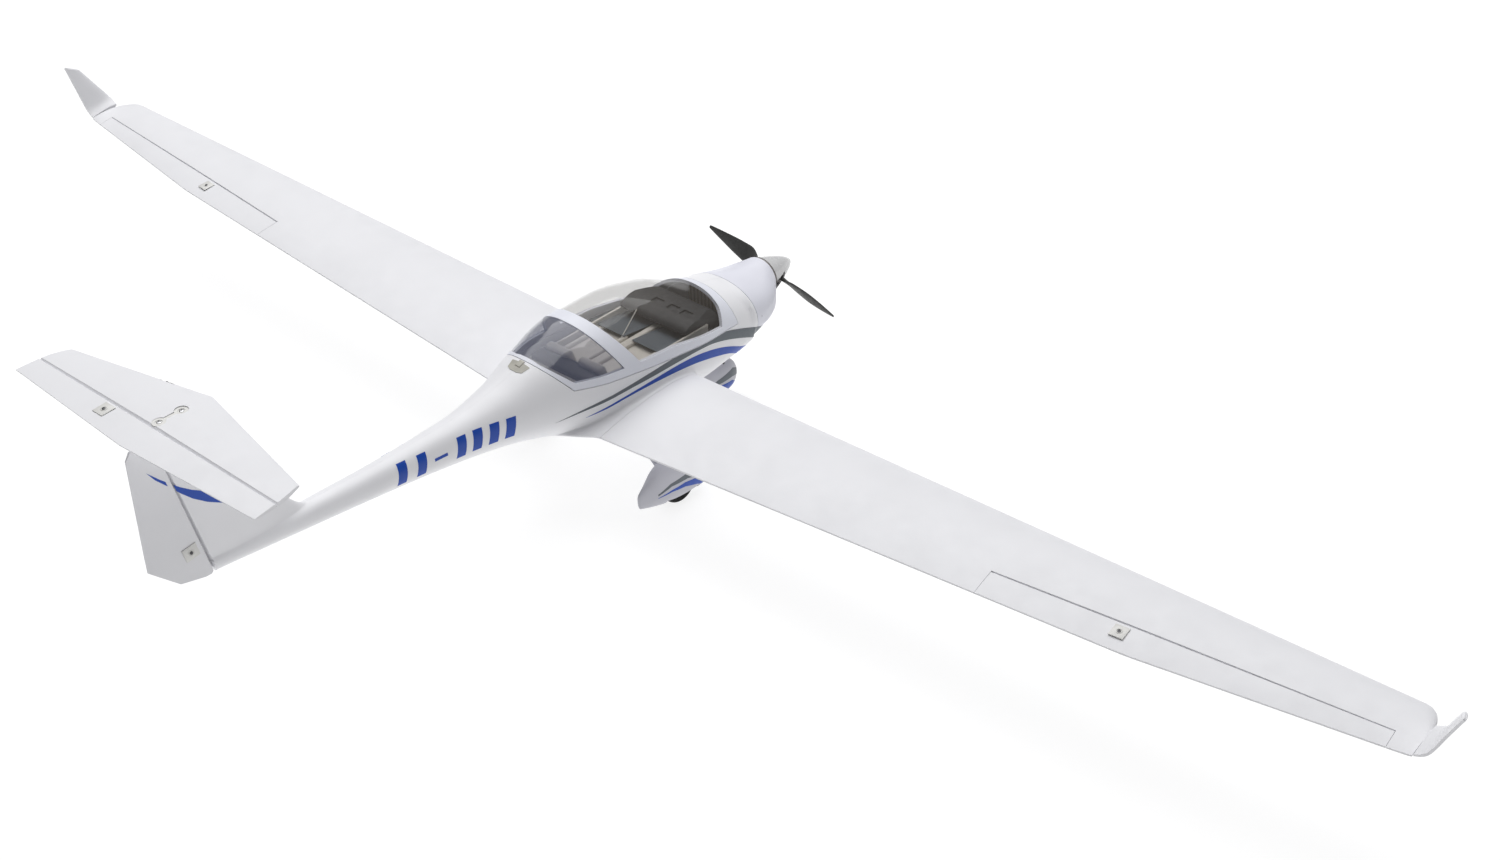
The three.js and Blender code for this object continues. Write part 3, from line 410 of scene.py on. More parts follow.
def hinge_frame(origin, direction, out):
    w = Vector(direction).normalized()
    out = Vector(out)
    v = (out - w * out.dot(w)).normalized()
    return basis(v.cross(w), v, w, origin)


def wedge(hinge, low, high, edge=0.1):
    back = -edge - 30 * SWING
    return prism([(-edge, 0), (back, 30), (-CUT, 30), (-CUT, -30), (back, -30)], low, high, hinge)


def room(hinge, low, high, edge=0.3):
    return prism([(edge, 40), (edge, -40), (-CUT, -40), (-CUT, 40)], low, high, hinge)


def bevel(hinge, low, high, side=-1, lean=0.9):
    """The fixed part's half of the V along a hinge."""
    return prism([(0.2, side * 0.25), (0.2 + 12 * lean, side * 12.25), (0.2, side * 12.25)], low, high, hinge)


# ---------------------------------------------------------------- materials
def shader(name, color, roughness, metallic=0.0, alpha=1.0, **uniform):
    """A material with its shader, ready for a pattern on colour, roughness and bump."""
    mat = bpy.data.materials.new(name)
    mat.use_nodes = True
    tree = mat.node_tree
    bsdf = tree.nodes["Principled BSDF"]
    bsdf.inputs["Base Color"].default_value = (*color, 1)
    bsdf.inputs["Roughness"].default_value = roughness
    bsdf.inputs["Metallic"].default_value = metallic
    bsdf.inputs["Alpha"].default_value = alpha
    for socket, value in uniform.items():
        bsdf.inputs[socket.replace("_", " ")].default_value = value
    return mat, tree, bsdf


def pattern(tree, kind, scale, detail=2.0, stretch=(1, 1, 1)):
    """A texture in the piece's own coordinates; scale is in features a metre."""
    where = tree.nodes.new("ShaderNodeTexCoord")
    mapping = tree.nodes.new("ShaderNodeMapping")
    mapping.inputs["Scale"].default_value = stretch
    tree.links.new(where.outputs["Object"], mapping.inputs["Vector"])
    node = tree.nodes.new({"noise": "ShaderNodeTexNoise", "cells": "ShaderNodeTexVoronoi",
                           "waves": "ShaderNodeTexWave"}[kind])
    node.inputs["Scale"].default_value = scale
    if kind != "cells":
        node.inputs["Detail"].default_value = detail
    tree.links.new(mapping.outputs["Vector"], node.inputs["Vector"])
    return node.outputs["Distance"] if kind == "cells" else node.outputs[0 if kind == "noise" else "Fac"]


def ramp(tree, value, stops):
    """Colours along a value: stops are (place, rgb)."""
    node = tree.nodes.new("ShaderNodeValToRGB")
    while len(node.color_ramp.elements) < len(stops):
        node.color_ramp.elements.new(0.5)
    for element, (place, rgb) in zip(node.color_ramp.elements, stops):
        element.position, element.color = place, (*rgb, 1)
    tree.links.new(value, node.inputs["Fac"])
    return node.outputs["Color"]


def spread(tree, value, low, high):
    node = tree.nodes.new("ShaderNodeMapRange")
    node.inputs["To Min"].default_value, node.inputs["To Max"].default_value = low, high
    node.inputs["From Min"].default_value, node.inputs["From Max"].default_value = 0.3, 0.7
    tree.links.new(value, node.inputs["Value"])
    return node.outputs["Result"]


def bump(tree, bsdf, height, strength, distance, under=None):
    node = tree.nodes.new("ShaderNodeBump")
    node.inputs["Strength"].default_value = strength
    node.inputs["Distance"].default_value = distance
    tree.links.new(height, node.inputs["Height"])
    if under:
        tree.links.new(under, node.inputs["Normal"])
    tree.links.new(node.outputs["Normal"], bsdf.inputs["Normal"])
    return node.outputs["Normal"]


def foam(name, color, shade=0.975):
    """Smooth moulded foam: faint beads under a skin that is slightly uneven in colour and gloss."""
    mat, tree, bsdf = shader(name, color, 0.42, Specular_IOR_Level=0.42)
    darker = tuple(c * shade for c in color)
    blotches = pattern(tree, "noise", 14, 3)
    tree.links.new(ramp(tree, blotches, [(0.32, darker), (0.56, color)]), bsdf.inputs["Base Color"])
    tree.links.new(spread(tree, pattern(tree, "noise", 60, 2), 0.36, 0.52), bsdf.inputs["Roughness"])
    beads = bump(tree, bsdf, pattern(tree, "cells", 420), 0.10, 0.0002)
    bump(tree, bsdf, pattern(tree, "noise", 22, 2), 0.10, 0.003, beads)
    return mat


def moulded(name, color, roughness, shade=0.8, grain=700, depth=0.0002, strength=0.25, **uniform):
    """Moulded plastic or rubber, with a fine grain and uneven tone."""
    mat, tree, bsdf = shader(name, color, roughness, **uniform)
    tone = pattern(tree, "noise", 90, 4)
    tree.links.new(ramp(tree, tone, [(0.3, tuple(c * shade for c in color)), (0.65, color)]),
                   bsdf.inputs["Base Color"])
    tree.links.new(spread(tree, pattern(tree, "noise", 240, 2), roughness * 0.85, min(1, roughness * 1.2)),
                   bsdf.inputs["Roughness"])
    bump(tree, bsdf, pattern(tree, "noise", grain, 3), strength, depth)
    return mat


def brushed(name, color, roughness=0.3, stretch=(1, 1, 12)):
    mat, tree, bsdf = shader(name, color, roughness, metallic=1.0)
    lines = pattern(tree, "noise", 260, 5, stretch)
    darker = tuple(c * 0.7 for c in color)
    tree.links.new(ramp(tree, lines, [(0.3, darker), (0.7, color)]), bsdf.inputs["Base Color"])
    tree.links.new(spread(tree, lines, roughness * 0.7, roughness * 1.4), bsdf.inputs["Roughness"])
    bump(tree, bsdf, lines, 0.15, 0.0002)
    return mat


def smoked(name, color, alpha):
    """Thin smoked plastic with faint flow lines and uneven gloss; the lighter streaks in its colour are
    painted reflections.
    """
    mat, tree, bsdf = shader(name, color, 0.05, alpha=alpha, Coat_Weight=0.6, Coat_Roughness=0.02,
                             Specular_IOR_Level=0.7)
    # Painted reflection: long streaks, up to nearly twice as light as the tint, stand in for the sky seen in
    # the glass.
    painted_reflection = pattern(tree, "noise", 9, 4, (1, 0.35, 1))
    tree.links.new(ramp(tree, painted_reflection, [(0.35, color), (0.75, tuple(min(1, c * 1.9) for c in color))]),
                   bsdf.inputs["Base Color"])
    tree.links.new(spread(tree, pattern(tree, "noise", 40, 3), 0.03, 0.09), bsdf.inputs["Roughness"])
    bump(tree, bsdf, pattern(tree, "noise", 18, 2, (1, 0.5, 1)), 0.05, 0.002)
    return mat


def tricot(name):
    """Carbon tube: crossed bands a few millimetres wide under clear resin."""
    mat, tree, bsdf = shader(name, (0.03, 0.03, 0.032), 0.35, Coat_Weight=0.5)
    bands = pattern(tree, "waves", 170, 0, (1, 1, -1))
    tree.links.new(ramp(tree, bands, [(0.35, (0.016, 0.016, 0.018)), (0.6, (0.055, 0.055, 0.06))]),
                   bsdf.inputs["Base Color"])
    bump(tree, bsdf, bands, 0.2, 0.0003)
    return mat


def wood(name):
    mat, tree, bsdf = shader(name, (0.55, 0.38, 0.2), 0.6)
    grain = pattern(tree, "waves", 55, 6, (1, 0.2, 3))
    tree.links.new(ramp(tree, grain, [(0.2, (0.42, 0.27, 0.13)), (0.8, (0.62, 0.45, 0.26))]),
                   bsdf.inputs["Base Color"])
    bump(tree, bsdf, grain, 0.25, 0.0004)
    return mat


WHITE_FOAM = foam("white_foam", (0.80, 0.80, 0.825))
# Painted light: the fuselage is the same white foam as the wing, coloured lighter so its sides, which the lamp
# leaves in shade, look lit.
LIT_FUSELAGE_FOAM = foam("fuselage_foam_painted_light", (0.85, 0.85, 0.875))
COWL_FOAM = foam("cowl_foam", (0.77, 0.775, 0.85))
HATCH_FOAM = foam("hatch_foam", (0.78, 0.795, 0.865))
# Painted shade: the gear is the same white foam, coloured darker to stand in for the shade under the wing and
# body.
SHADED_GEAR_FOAM = foam("gear_foam_painted_shade", (0.54, 0.54, 0.59))
BLUE = moulded("blue_film", (0.012, 0.070, 0.42), 0.34, 0.95, 900, 0.0001, 0.1, Specular_IOR_Level=0.35)
GREY = moulded("grey_film", (0.125, 0.145, 0.165), 0.36, 0.93, 900, 0.0001, 0.1, Specular_IOR_Level=0.35)
SMOKE = smoked("smoked_glass", (0.16, 0.145, 0.13), 0.155)
REAR_SMOKE = smoked("smoked_rear_glass", (0.15, 0.16, 0.22), 0.32)
LATCH = moulded("latch_plastic", (0.46, 0.445, 0.39), 0.4, 0.8, 500, 0.0003, 0.2)
NYLON = moulded("natural_nylon", (0.72, 0.715, 0.69), 0.42, 0.92, 500, 0.0003, 0.2, Coat_Weight=0.15)
RESIN_DARK = moulded("black_plastic", (0.022, 0.022, 0.024), 0.5, 0.7)
BLADE = moulded("blade_plastic", (0.060, 0.060, 0.057), 0.48, 0.85, 520, 0.0002, 0.3, Specular_IOR_Level=0.35)
TAUPE = moulded("hub_plastic", (0.235, 0.215, 0.205), 0.36, 0.85, 400, 0.0002, 0.15)
GLOSS_WHITE = moulded("spinner_plastic", (0.66, 0.66, 0.665), 0.24, 0.96, 300, 0.0001, 0.08, Coat_Weight=0.3)
BRONZE = brushed("bronze", (0.36, 0.24, 0.15), 0.42)
STEEL = brushed("plated_steel", (0.56, 0.56, 0.58), 0.3)
DARK_STEEL = brushed("dark_screw", (0.12, 0.12, 0.125), 0.35)
MOTOR = brushed("motor_metal", (0.5, 0.5, 0.52), 0.32)
RUBBER = moulded("foam_rubber", (0.012, 0.012, 0.012), 0.8, 0.7, 900, 0.0004, 0.5, Specular_IOR_Level=0.25)
HUB_WHITE = moulded("wheel_plastic", (0.72, 0.72, 0.72), 0.4, 0.93)
SEAT = moulded("cabin_plastic", (0.70, 0.66, 0.60), 0.62, 0.92, 260, 0.0005, 0.5)
TRIM = moulded("cabin_trim", (0.62, 0.60, 0.56), 0.5, 0.9)
CARBON = tricot("carbon_tube")
PLY = wood("light_ply")
WRAP = moulded("battery_wrap", (0.03, 0.09, 0.32), 0.3, 0.8, 200, 0.0004, 0.4, Coat_Weight=0.4)


def settle(obj, name, body, material, replaces=(), angle=32):
    """Moves a finished mesh into the row frame, gives it its body and material, and hides the parts it
    replaces.
    """
    obj.name = obj.data.name = name
    obj.data.materials.clear()
    obj.data.materials.append(material)
    obj.data.polygons.foreach_set("material_index", [0] * len(obj.data.polygons))
    obj.data.transform(ROW)
    obj.data.polygons.foreach_set("use_smooth", [True] * len(obj.data.polygons))
    obj.data.set_sharp_from_angle(angle=math.radians(angle))
    obj.data.update()
    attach(obj, body)
    if replaces:
        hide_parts(*replaces)
    return obj


def screw(centre, out, radius, name, body, material=DARK_STEEL, height=0.8):
    """A countersunk cross-head screw standing just out of the skin."""
    out = Vector(out).normalized()
    u = out.orthogonal().normalized()
    place = basis(u, out.cross(u), out, Vector(centre))
    profile = [(radius, -1.5), (radius, 0), (radius * 0.94, height * 0.55), (radius * 0.6, height)]
    head = lathe(profile, place, 28)
    for turn in (0, 1):
        w, h = (radius * 0.5, radius * 0.14) if turn else (radius * 0.14, radius * 0.5)
        minus(head, box(-w, w, -h, h, height * 0.3, 5, place))
    return settle(head, name, body, material)


# ---------------------------------------------------------------- fuselage
def fin_ring(z):
    t = (z - FIN["base_z"]) / (FIN["top_z"] - FIN["base_z"])
    sweep = 26 * math.exp(-max(0, z - 52) / 9)
    le = FIN["base_le"] + t * (FIN["top_le"] - FIN["base_le"]) - sweep
    te = FIN["base_te"] + t * (FIN["top_te"] - FIN["base_te"])
    ratio = (0.085 + 0.015 * t) * (te - le - sweep) / (te - le)
    return [Vector((across, le + u, z)) for u, across in aerofoil(te - le, ratio, False, 0.6, 30)]


FIN_HINGE = hinge_frame((0, 495.2 + 0.2 * 38, 78), (0, 0.2, 1), (1, 0, 0))
FIN_LEVELS = [40 + 1.5 * k for k in range(28)] + [86, 110, 140, 175, FIN["top_z"]]
FIN_SOLID = loft([fin_ring(z) for z in FIN_LEVELS], mark=2)


def hatch_room(grow):
    (y0, z0), (y1, z1), (y2, z2) = HATCH
    outline = [(y0 - grow, z0 - grow), (y1 + 0.8 * grow, z1 - grow), (y2 + grow, z2), (y2 + 30 + grow, 140),
               (y0 - grow, 140)]
    return prism(outline, -CUT, CUT)


def make_outer():
    """Boom and cabin skin with both wing roots and the fin, joined by soft inner corners."""
    root = (76, wing_le(76), wing_te(76), WING_THICK)
    fillet = [(30, -97, 93, 0.15), (46, -95, 82.5, 0.135), (62, -90.5, 72.5, 0.12), (70, -86, 68, 0.116)]
    rows = curve_rows([*fillet, root], 6)
    stub = loft([wing_ring(x, front, back, ratio, 64) for x, front, back, ratio in rows], mark=1)
    outer = skin(COWL_SEAM + SEAM, 505)
    twin = mirrored(stub)
    step = FIN["top_z"] - 2.4
    shape = [(350, 40), (505, 40), (620, step), (521, step), (518, FIN["top_z"]), (350, FIN["top_z"])]
    fin = common(copy(FIN_SOLID), prism(shape, -60, 60, mark=2))
    join(outer, stub, twin, fin)

    def allowed(p):
        return smoothstep((75 - abs(p.x)) / 6) * smoothstep((498 - p.y) / 6)

    return soften_joints(outer, 12, 26, allowed)


OUTER = make_outer()


def make_fuselage():
    shell = copy(OUTER)
    minus(shell, skin(-207, 430, -5, 12, count=64), hatch_room(SEAM - 0.1), room(FIN_HINGE, -CUT, CUT))
    minus(shell, bevel(FIN_HINGE, -24, CUT, 1, 0.2), bevel(FIN_HINGE, -24, CUT, -1, 0.2))
    for side in (1, -1):
        minus(shell, bar((0, -38, 0.5), (side * 100, -38, 4), 4.3))
    minus(shell, bar((0, -190, -60), (0, -190, -20), 2.5))
    for y in (492.5, 516.5):
        minus(shell, bar((0, y, 190), (0, y, 240), 1.9, 16))
    right = minus(copy(shell), box(-0.06, CUT, -400, 700, -CUT, 300))
    left = minus(shell, box(-CUT, 0.06, -400, 700, -CUT, 300))
    settle(left, "fuselage_skin_left", "airframe", LIT_FUSELAGE_FOAM, ["fuselage_left"])
    settle(right, "fuselage_skin_right", "airframe", LIT_FUSELAGE_FOAM, ["fuselage_right"])


COWL = skin(-271.5, COWL_SEAM - SEAM, 0, 2.5)


def make_cowl():
    shaft = bar((0, -280, THRUST_Z), (0, -260, THRUST_Z), 9)
    shell = minus(copy(COWL), skin(-268.5, COWL_SEAM + 5, -3.5, 4), shaft)
    settle(shell, "cowl_skin", "airframe", COWL_FOAM, ["nose_cowl"])
    for side in (1, -1):
        name = f"cowl_screw_{'left' if side > 0 else 'right'}"
        screw((side * 53.6, -214, 8), (side, -0.28, 0.0), 1.9, name, "airframe")


def glass_outline(grow):
    """The edge of the glass in y and z, drawn in by grow and open above."""
    lower = []
    for i, (y, z) in enumerate(GLASS):
        inwards = grow if i < 3 else -grow if i > 6 else 0
        lower.append((y + inwards, z + (0 if i < 2 else grow)))
    return [(GLASS[0][0] - 2 + grow, ABOVE), *lower, (104 - grow, ABOVE)]


def hoop_edge(line):
    """Where one edge of the hoop meets the sill and the height above the canopy."""
    (y0, z0), (y1, z1) = line
    return [(y0 + (y1 - y0) * (z - z0) / (z1 - z0), z) for z in (SILL, ABOVE)]


def beyond(edge, shift, far):
    """Everything past one edge of the hoop."""
    (foot, sill), (top, above) = edge
    near = [(foot + shift, 20), (foot + shift, sill), (top + shift, above)]
    return prism([*near, (far, ABOVE), (far, 20)], -CUT, CUT)


def make_canopy():
    front, rear = hoop_edge(HOOP_FRONT), hoop_edge(HOOP_REAR)
    hoop = prism([front[0], rear[0], rear[1], front[1]], -CUT, CUT)
    openings = minus(prism(glass_outline(0), -CUT, CUT), hoop)
    shell = minus(skin(-175, 135, 0.05, 3), skin(-176, 136, -4, 6))
    shell = common(shell, hatch_room(-SEAM - 0.1), keep=False)
    minus(shell, openings)
    settle(shell, "canopy_rim", "canopy", HATCH_FOAM, ["canopy_frame"], 28)

    pane = minus(skin(-175, 135, -0.25, 3), skin(-176, 136, -1.5, 3))
    pane = common(common(pane, hatch_room(-0.5)), prism(glass_outline(0.12), -CUT, CUT))
    back_pane = minus(copy(pane), beyond(rear, 0.12, -300))
    minus(pane, beyond(front, -0.12, 300))
    settle(pane, "canopy_pane", "canopy", SMOKE, ["canopy_glass"], 25)
    settle(back_pane, "rear_pane", "canopy", REAR_SMOKE, ["rear_window"], 25)


def make_cabin():
    """A moulded pan with two seats, a deep instrument hood and a dark shelf behind the seats."""
    space = skin(-150, 70, -6, 8, count=64)
    tub = minus(box(-52, 52, -128, 48, 8, 36), box(-49.5, 49.5, -125.5, 45.5, 19, 60, soft=1.5))
    for side in (1, -1):
        x = side * 25
        c, s = math.cos(SEAT_LEAN), math.sin(SEAT_LEAN)
        lean = basis((1, 0, 0), (0, c, -s), (0, s, c), (x, 12, 12))
        tub = join(tub, box(x - 18, x + 18, -64, 10, 18, 28, soft=4.2, steps=4),
                   box(-18, 18, -5, 6, -2, 40, lean, soft=4, steps=4),
                   box(x - 20.5, x - 15, -60, 8, 18, 32, soft=2.4),
                   box(x + 15, x + 20.5, -60, 8, 18, 32, soft=2.4))
    tub = join(tub, box(-4, 4, -125.8, 10, 18, 30, soft=1.8))
    settle(common(tub, copy(space)), "cabin_tub", "canopy", SEAT, ["cockpit_tub"], 30)
    shape = [(-146, 24), (-131, 22), (-129, 33), (-97, 36), (-93, 39), (-99, 44), (-116, 47.5), (-146, 43)]
    panel = common(prism(smooth_outline(shape, 3), -50, 50), copy(space))
    minus(panel, box(-53, 53, -128.5, 49, 0, 36.4))
    for x in (-30, -10, 14):
        minus(panel, box(x - 7, x + 7, -122, -112, 45.2, 60, soft=0.6))
    settle(panel, "cabin_panel", "canopy", RESIN_DARK, ["instrument_panel"], 30)
    shelf = common(box(-49, 49, 24, 45, 21, 43, soft=3), space)
    settle(shelf, "cabin_shelf", "canopy", RESIN_DARK, (), 30)
    settle(bar((6, -48, 31), (36, -119, 46.5), 0.7, 16), "cabin_trim", "canopy", TRIM, (), 30)


# ---------------------------------------------------------------- wings
def linkage_pocket(hinge, pivot):
    low = pivot - 4
    return box(31, 55, low - 0.3, CUT, -22.6, 4, hinge)


def plate_place(hinge, depth, back, tilt):
    return hinge @ Matrix.Translation((-back, -depth, 0)) @ Matrix.Rotation(math.radians(tilt), 4, "Z")


def horn_plate(hinge, depth, back, tilt, mirror, name, body, replaced):
    """A square backing plate let into the skin, with its chamfered edge, a raised ring and a screw."""
    place = plate_place(hinge, depth, back, tilt)
    outwards = place @ basis((1, 0, 0), (0, 0, 1), (0, -1, 0))
    plate = box(-7.5, 7.5, -7.5, 7.5, 0, 1.05, outwards, soft=0.25, steps=2)
    ring = lathe([(3.2, 0.6), (3.2, 1.3), (2.7, 1.5), (2.3, 1.2), (2.3, 0.6)], outwards, 32)
    join(plate, ring)
    centre, out = place @ Vector((0, -1.2, 0)), (place.to_3x3() @ Vector((0, -1, 0)))
    if mirror:
        twin = mirrored(plate)
        discard(plate)
        plate = twin
        centre, out = MIRROR @ centre, MIRROR.to_3x3() @ out
    settle(plate, name, body, NYLON, [replaced])
    screw(centre, out, 1.7, name + "_screw", body, height=0.7)


def make_wings():
    inner, outer, horn_x = AILERON["inner"], AILERON["outer"], AILERON["horn_x"]
    lean = (outer[1] - inner[1]) / (outer[0] - inner[0])
    hinge_y = inner[1] + lean * (horn_x - inner[0])
    chord = wing_te(horn_x) - wing_le(horn_x)
    share = (hinge_y - wing_le(horn_x)) / chord
    middle = DIHEDRAL * horn_x - WASH_IN * share * chord + 0.09 * share * (1 - share) * chord - 1.5
    hinge = hinge_frame((horn_x, hinge_y, middle), (1, lean, DIHEDRAL), (0, 0, -1))
    low, high = inner[0] - horn_x, outer[0] - horn_x
    depth = half_thickness(share, WING_THICK) * chord
    flat = [WING_ROOT + 0.3 + (WING_ROUND - WING_ROOT) * k / 72 for k in range(73)]
    rounded = [WING_ROUND + (WING_TIP - WING_ROUND) * math.sin(math.pi / 2 * k / 14) for k in range(1, 15)]
    panel = loft([wing_ring(x, count=40) for x in flat + rounded])
    seat = box(-7.6, 7.6, -20, 0.1, -7.6, 7.6, plate_place(hinge, depth - 1.2, 12.5, -7))
    aileron = minus(common(copy(panel), wedge(hinge, low + 0.4, high - 0.4, 0.06)), seat)
    body = minus(panel, room(hinge, low, high, 0.14), linkage_pocket(hinge, 0))
    minus(body, bar((0, -38, 0.5), (331, -38, 0.5 + DIHEDRAL * 331), 4.3))
    for mirror, side in ((True, "right"), (False, "left")):
        wing_mesh, aileron_mesh = (mirrored(body), mirrored(aileron)) if mirror else (body, aileron)
        settle(wing_mesh, f"wing_skin_{side}", "airframe", WHITE_FOAM, [f"wing_{side}"])
        settle(aileron_mesh, f"aileron_skin_{side}", f"aileron_{side}", WHITE_FOAM,
               [f"aileron_{side}"])
        horn_plate(hinge, depth - 1.2, 12.5, -7, mirror, f"aileron_pad_{side}", f"aileron_{side}",
                   f"aileron_plate_{side}")


def make_winglets():
    def row(te, le, ratio, rise):
        return [*te, *le, ratio, rise]

    tip_te, tip_le = (1000, 4.6, 96.5), (994, -12.7, 89.5)
    bend_te, bend_le = (974.6, -1.0, 40), (974.6, -39, 45)
    lean = math.atan2(tip_te[2] - bend_te[2], tip_te[0] - bend_te[0])
    between = lambda p, q, t: [a + t * (b - a) for a, b in zip(p, q)]
    rows = [row((962.6, -1.5, 31), (962.6, -39.5, 37), 0.13, 0), row(bend_te, bend_le, 0.145, lean * 0.75),
            row(between(bend_te, tip_te, 0.5), between(bend_le, tip_le, 0.46), 0.165, lean),
            row(between(bend_te, tip_te, 0.9), between(bend_le, tip_le, 0.88), 0.21, lean),
            row(between(bend_te, tip_te, 0.97), between(bend_le, tip_le, 0.955), 0.20, lean),
            row(between(tip_te, tip_le, 0.12), between(tip_te, tip_le, 0.9), 0.10, lean)]

    def ring(values):
        te, le, ratio, rise = Vector(values[:3]), Vector(values[3:6]), values[6], values[7]
        chordwise = (te - le).normalized()
        across = Vector((math.cos(rise), 0, math.sin(rise))).cross(chordwise).normalized()
        return [le + chordwise * u + across * t for u, t in aerofoil((te - le).length, ratio, False, 1.2, 18)]

    left = loft([ring(r) for r in curve_rows(rows, 7)])
    settle(mirrored(left), "winglet_skin_right", "airframe", WHITE_FOAM, ["winglet_right"])
    settle(left, "winglet_skin_left", "airframe", WHITE_FOAM, ["winglet_left"])


# ---------------------------------------------------------------- tail
def make_stabilizer():
    def ring(x):
        le = 459 + (494 - 459) * abs(x) / (STAB_TIP - 13)
        te = 558 + (548.5 - 558) * abs(x) / STAB_TIP
        return [Vector((x, le + u, STAB_Z + t)) for u, t in aerofoil(te - le, 0.075, False, 0.5, 30)]

    blank = loft([ring(x) for x in [-STAB_TIP + STAB_TIP * k / 14 for k in range(29)]])
    right = [(0, 440), (167, 484), (170.5, 490), (173, 500), (177.5, 514), (179.5, 524.5), (183, 563)]
    outline = right + [(-x, y) for x, y in reversed(right[1:])]
    whole = common(blank, prism(outline, STAB_Z - 20, STAB_Z + 20, PLAN))
    hinge = hinge_frame((57, STAB_HINGE, STAB_Z), (1, 0, 0), (0, 0, -1))
    place = plate_place(hinge, 1.8, 11, -5)
    elevator = minus(common(copy(whole), wedge(hinge, -400, 400)), box(-7.6, 7.6, -20, 0.1, -7.6, 7.6, place))
    top = STAB_Z + 2.6
    def bone(grow, high):
        parts = [bar((0, y, top - 1.4 - grow), (0, y, high), 6.5 + grow, 40) for y in (492.5, 516.5)]
        return join(*parts, box(-2.2 - grow, 2.2 + grow, 492.5, 516.5, top - 1.4 - grow, high))
    fixed = minus(whole, room(hinge, -400, 400), linkage_pocket(hinge, 3), bone(0.15, STAB_Z + 20))
    minus(fixed, bevel(hinge, -400, 400))
    for y in (492.5, 516.5):
        minus(fixed, bar((0, y, 190), (0, y, 240), 1.9, 16))
    settle(fixed, "stabilizer_skin", "airframe", WHITE_FOAM, ["stabilizer"])
    settle(elevator, "elevator_skin", "elevator", WHITE_FOAM, ["elevator"])
    horn_plate(hinge, 1.8, 11, -5, False, "elevator_pad", "elevator", "elevator_plate")
    plate = bone(0, top + 0.35)
    for y in (492.5, 516.5):
        seat = [(3.4, top + 0.4), (3.4, top - 0.15), (0.2, top - 0.16)]
        minus(plate, lathe(seat, Matrix.Translation((0, y, 0)), 32))
    settle(plate, "stabilizer_inlay", "airframe", NYLON, ["stab_plate"])
    for y, tag in ((492.5, "front"), (516.5, "rear")):
        head = screw((0, y, top - 0.1), (0, 0, 1), 2.3, f"stabilizer_screw_{tag}", "airframe", STEEL, 0.8)
        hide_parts(f"stab_screw_{tag}")


def make_rudder():
    whole = copy(FIN_SOLID)
    place = plate_place(FIN_HINGE, 4.2, 14, -3.5)
    rudder = common(common(whole, wedge(FIN_HINGE, -CUT, CUT)), prism(RUDDER_OUTLINE, -40, 40))
    skin_copy = copy(rudder)
    minus(rudder, box(-7.6, 7.6, -20, 0.1, -7.6, 7.6, place))
    settle(rudder, "rudder_skin", "rudder", WHITE_FOAM, ["rudder"])
    horn_plate(FIN_HINGE, 4.2, 14, -3.5, False, "rudder_pad", "rudder", "rudder_plate")
    return skin_copy


# ---------------------------------------------------------------- landing gear
MAIN_SPAT = [(-62, -97, -90, 2.5), (-57, -105, -81, 7), (-44, -110, -69, 10.5), (-15, -108.5, -55.5, 13),
             (6, -105.5, -54, 12.4), (20, -102.5, -58.5, 10), (34, -98.5, -69, 5.6), (44, -95, -76, 2.6)]
NOSE_SPAT = [(-222, -92, -84, 3), (-216, -102, -72, 8), (-203, -107, -64, 12.5), (-182, -108, -61, 14.5),
             (-160, -103, -64, 12.5), (-140, -95, -72, 7.5), (-126, -88, -79, 3.5)]


def spat_ring(x, y, low, high, half, count=64):
    def squared(v):
        return math.copysign(abs(v) ** 0.85, v)

    angles = [math.tau * i / count for i in range(count)]
    middle, rise = (low + high) / 2, (high - low) / 2
    return [Vector((x + half * squared(math.cos(a)), y, middle + rise * squared(math.sin(a)))) for a in angles]


def wheel_well(x, y, radius, width):
    """Round room for a wheel, open below."""
    axle, half, reach = GROUND + radius, width / 2 + 1.6, radius + 2.5
    return join(bar((x - half, y, axle), (x + half, y, axle), reach, 72),
                box(x - half, x + half, y - reach, y + reach, -CUT, axle))


def spat(rows, x):
    """A spat through rows of (y, low, high, half width), drawn in to a round nose and tail."""
    def cap(row, reach, share):
        y, low, high, half = row
        middle = (low + high) / 2
        return [y + reach, middle + (low - middle) * share, middle + (high - middle) * share, half * share]

    fine = curve_rows(rows, 7)
    nose = [cap(fine[0], -1.6, 0.35), cap(fine[0], -0.9, 0.75)]
    tail = [cap(fine[-1], 0.9, 0.8), cap(fine[-1], 1.5, 0.45)]
    return loft([spat_ring(x, *row) for row in nose + fine + tail])


def wheel(x, y, radius, width, name, body):
    """A foam tyre with rounded shoulders and a centre line, on a white hub with five openings."""
    place = basis((0, 1, 0), (0, 0, 1), (1, 0, 0), (x, y, GROUND + radius))
    h = width / 2
    rim = radius * 0.52
    shoulder = [(radius - h * (1 - math.sin(a)) * 0.75, h * 0.98 * math.cos(a))
                for a in [math.pi * k / 12 * 0.5 for k in range(1, 12)]]
    tread = ([(rim, h * 0.84)] + [(radius * 0.62, h * 0.93), (radius * 0.72, h * 0.99)]
             + shoulder + [(radius, h * 0.06), (radius - 0.5, h * 0.04)])
    profile = tread + [(r, -s) for r, s in reversed(tread)]
    tyre = lathe(profile, place, 72, ring_shaped=True)
    settle(tyre, name + "_tyre", body, RUBBER, [name], 40)
    dish = [(1.9, h * 0.8), (rim * 0.35, h * 0.8), (rim * 0.45, h * 0.45), (rim * 0.82, h * 0.42),
            (rim * 0.93, h * 0.8), (rim - 0.1, h * 0.82)]
    hub = lathe(dish + [(r, -s) for r, s in reversed(dish)], place, 56, ring_shaped=True)
    for k in range(5):
        a = math.tau * k / 5
        c, s = rim * 0.64 * math.cos(a), rim * 0.64 * math.sin(a)
        minus(hub, bar(place @ Vector((c, s, -h)), place @ Vector((c, s, h)), rim * 0.13, 20))
    settle(hub, name + "_hub", body, HUB_WHITE, (), 30)


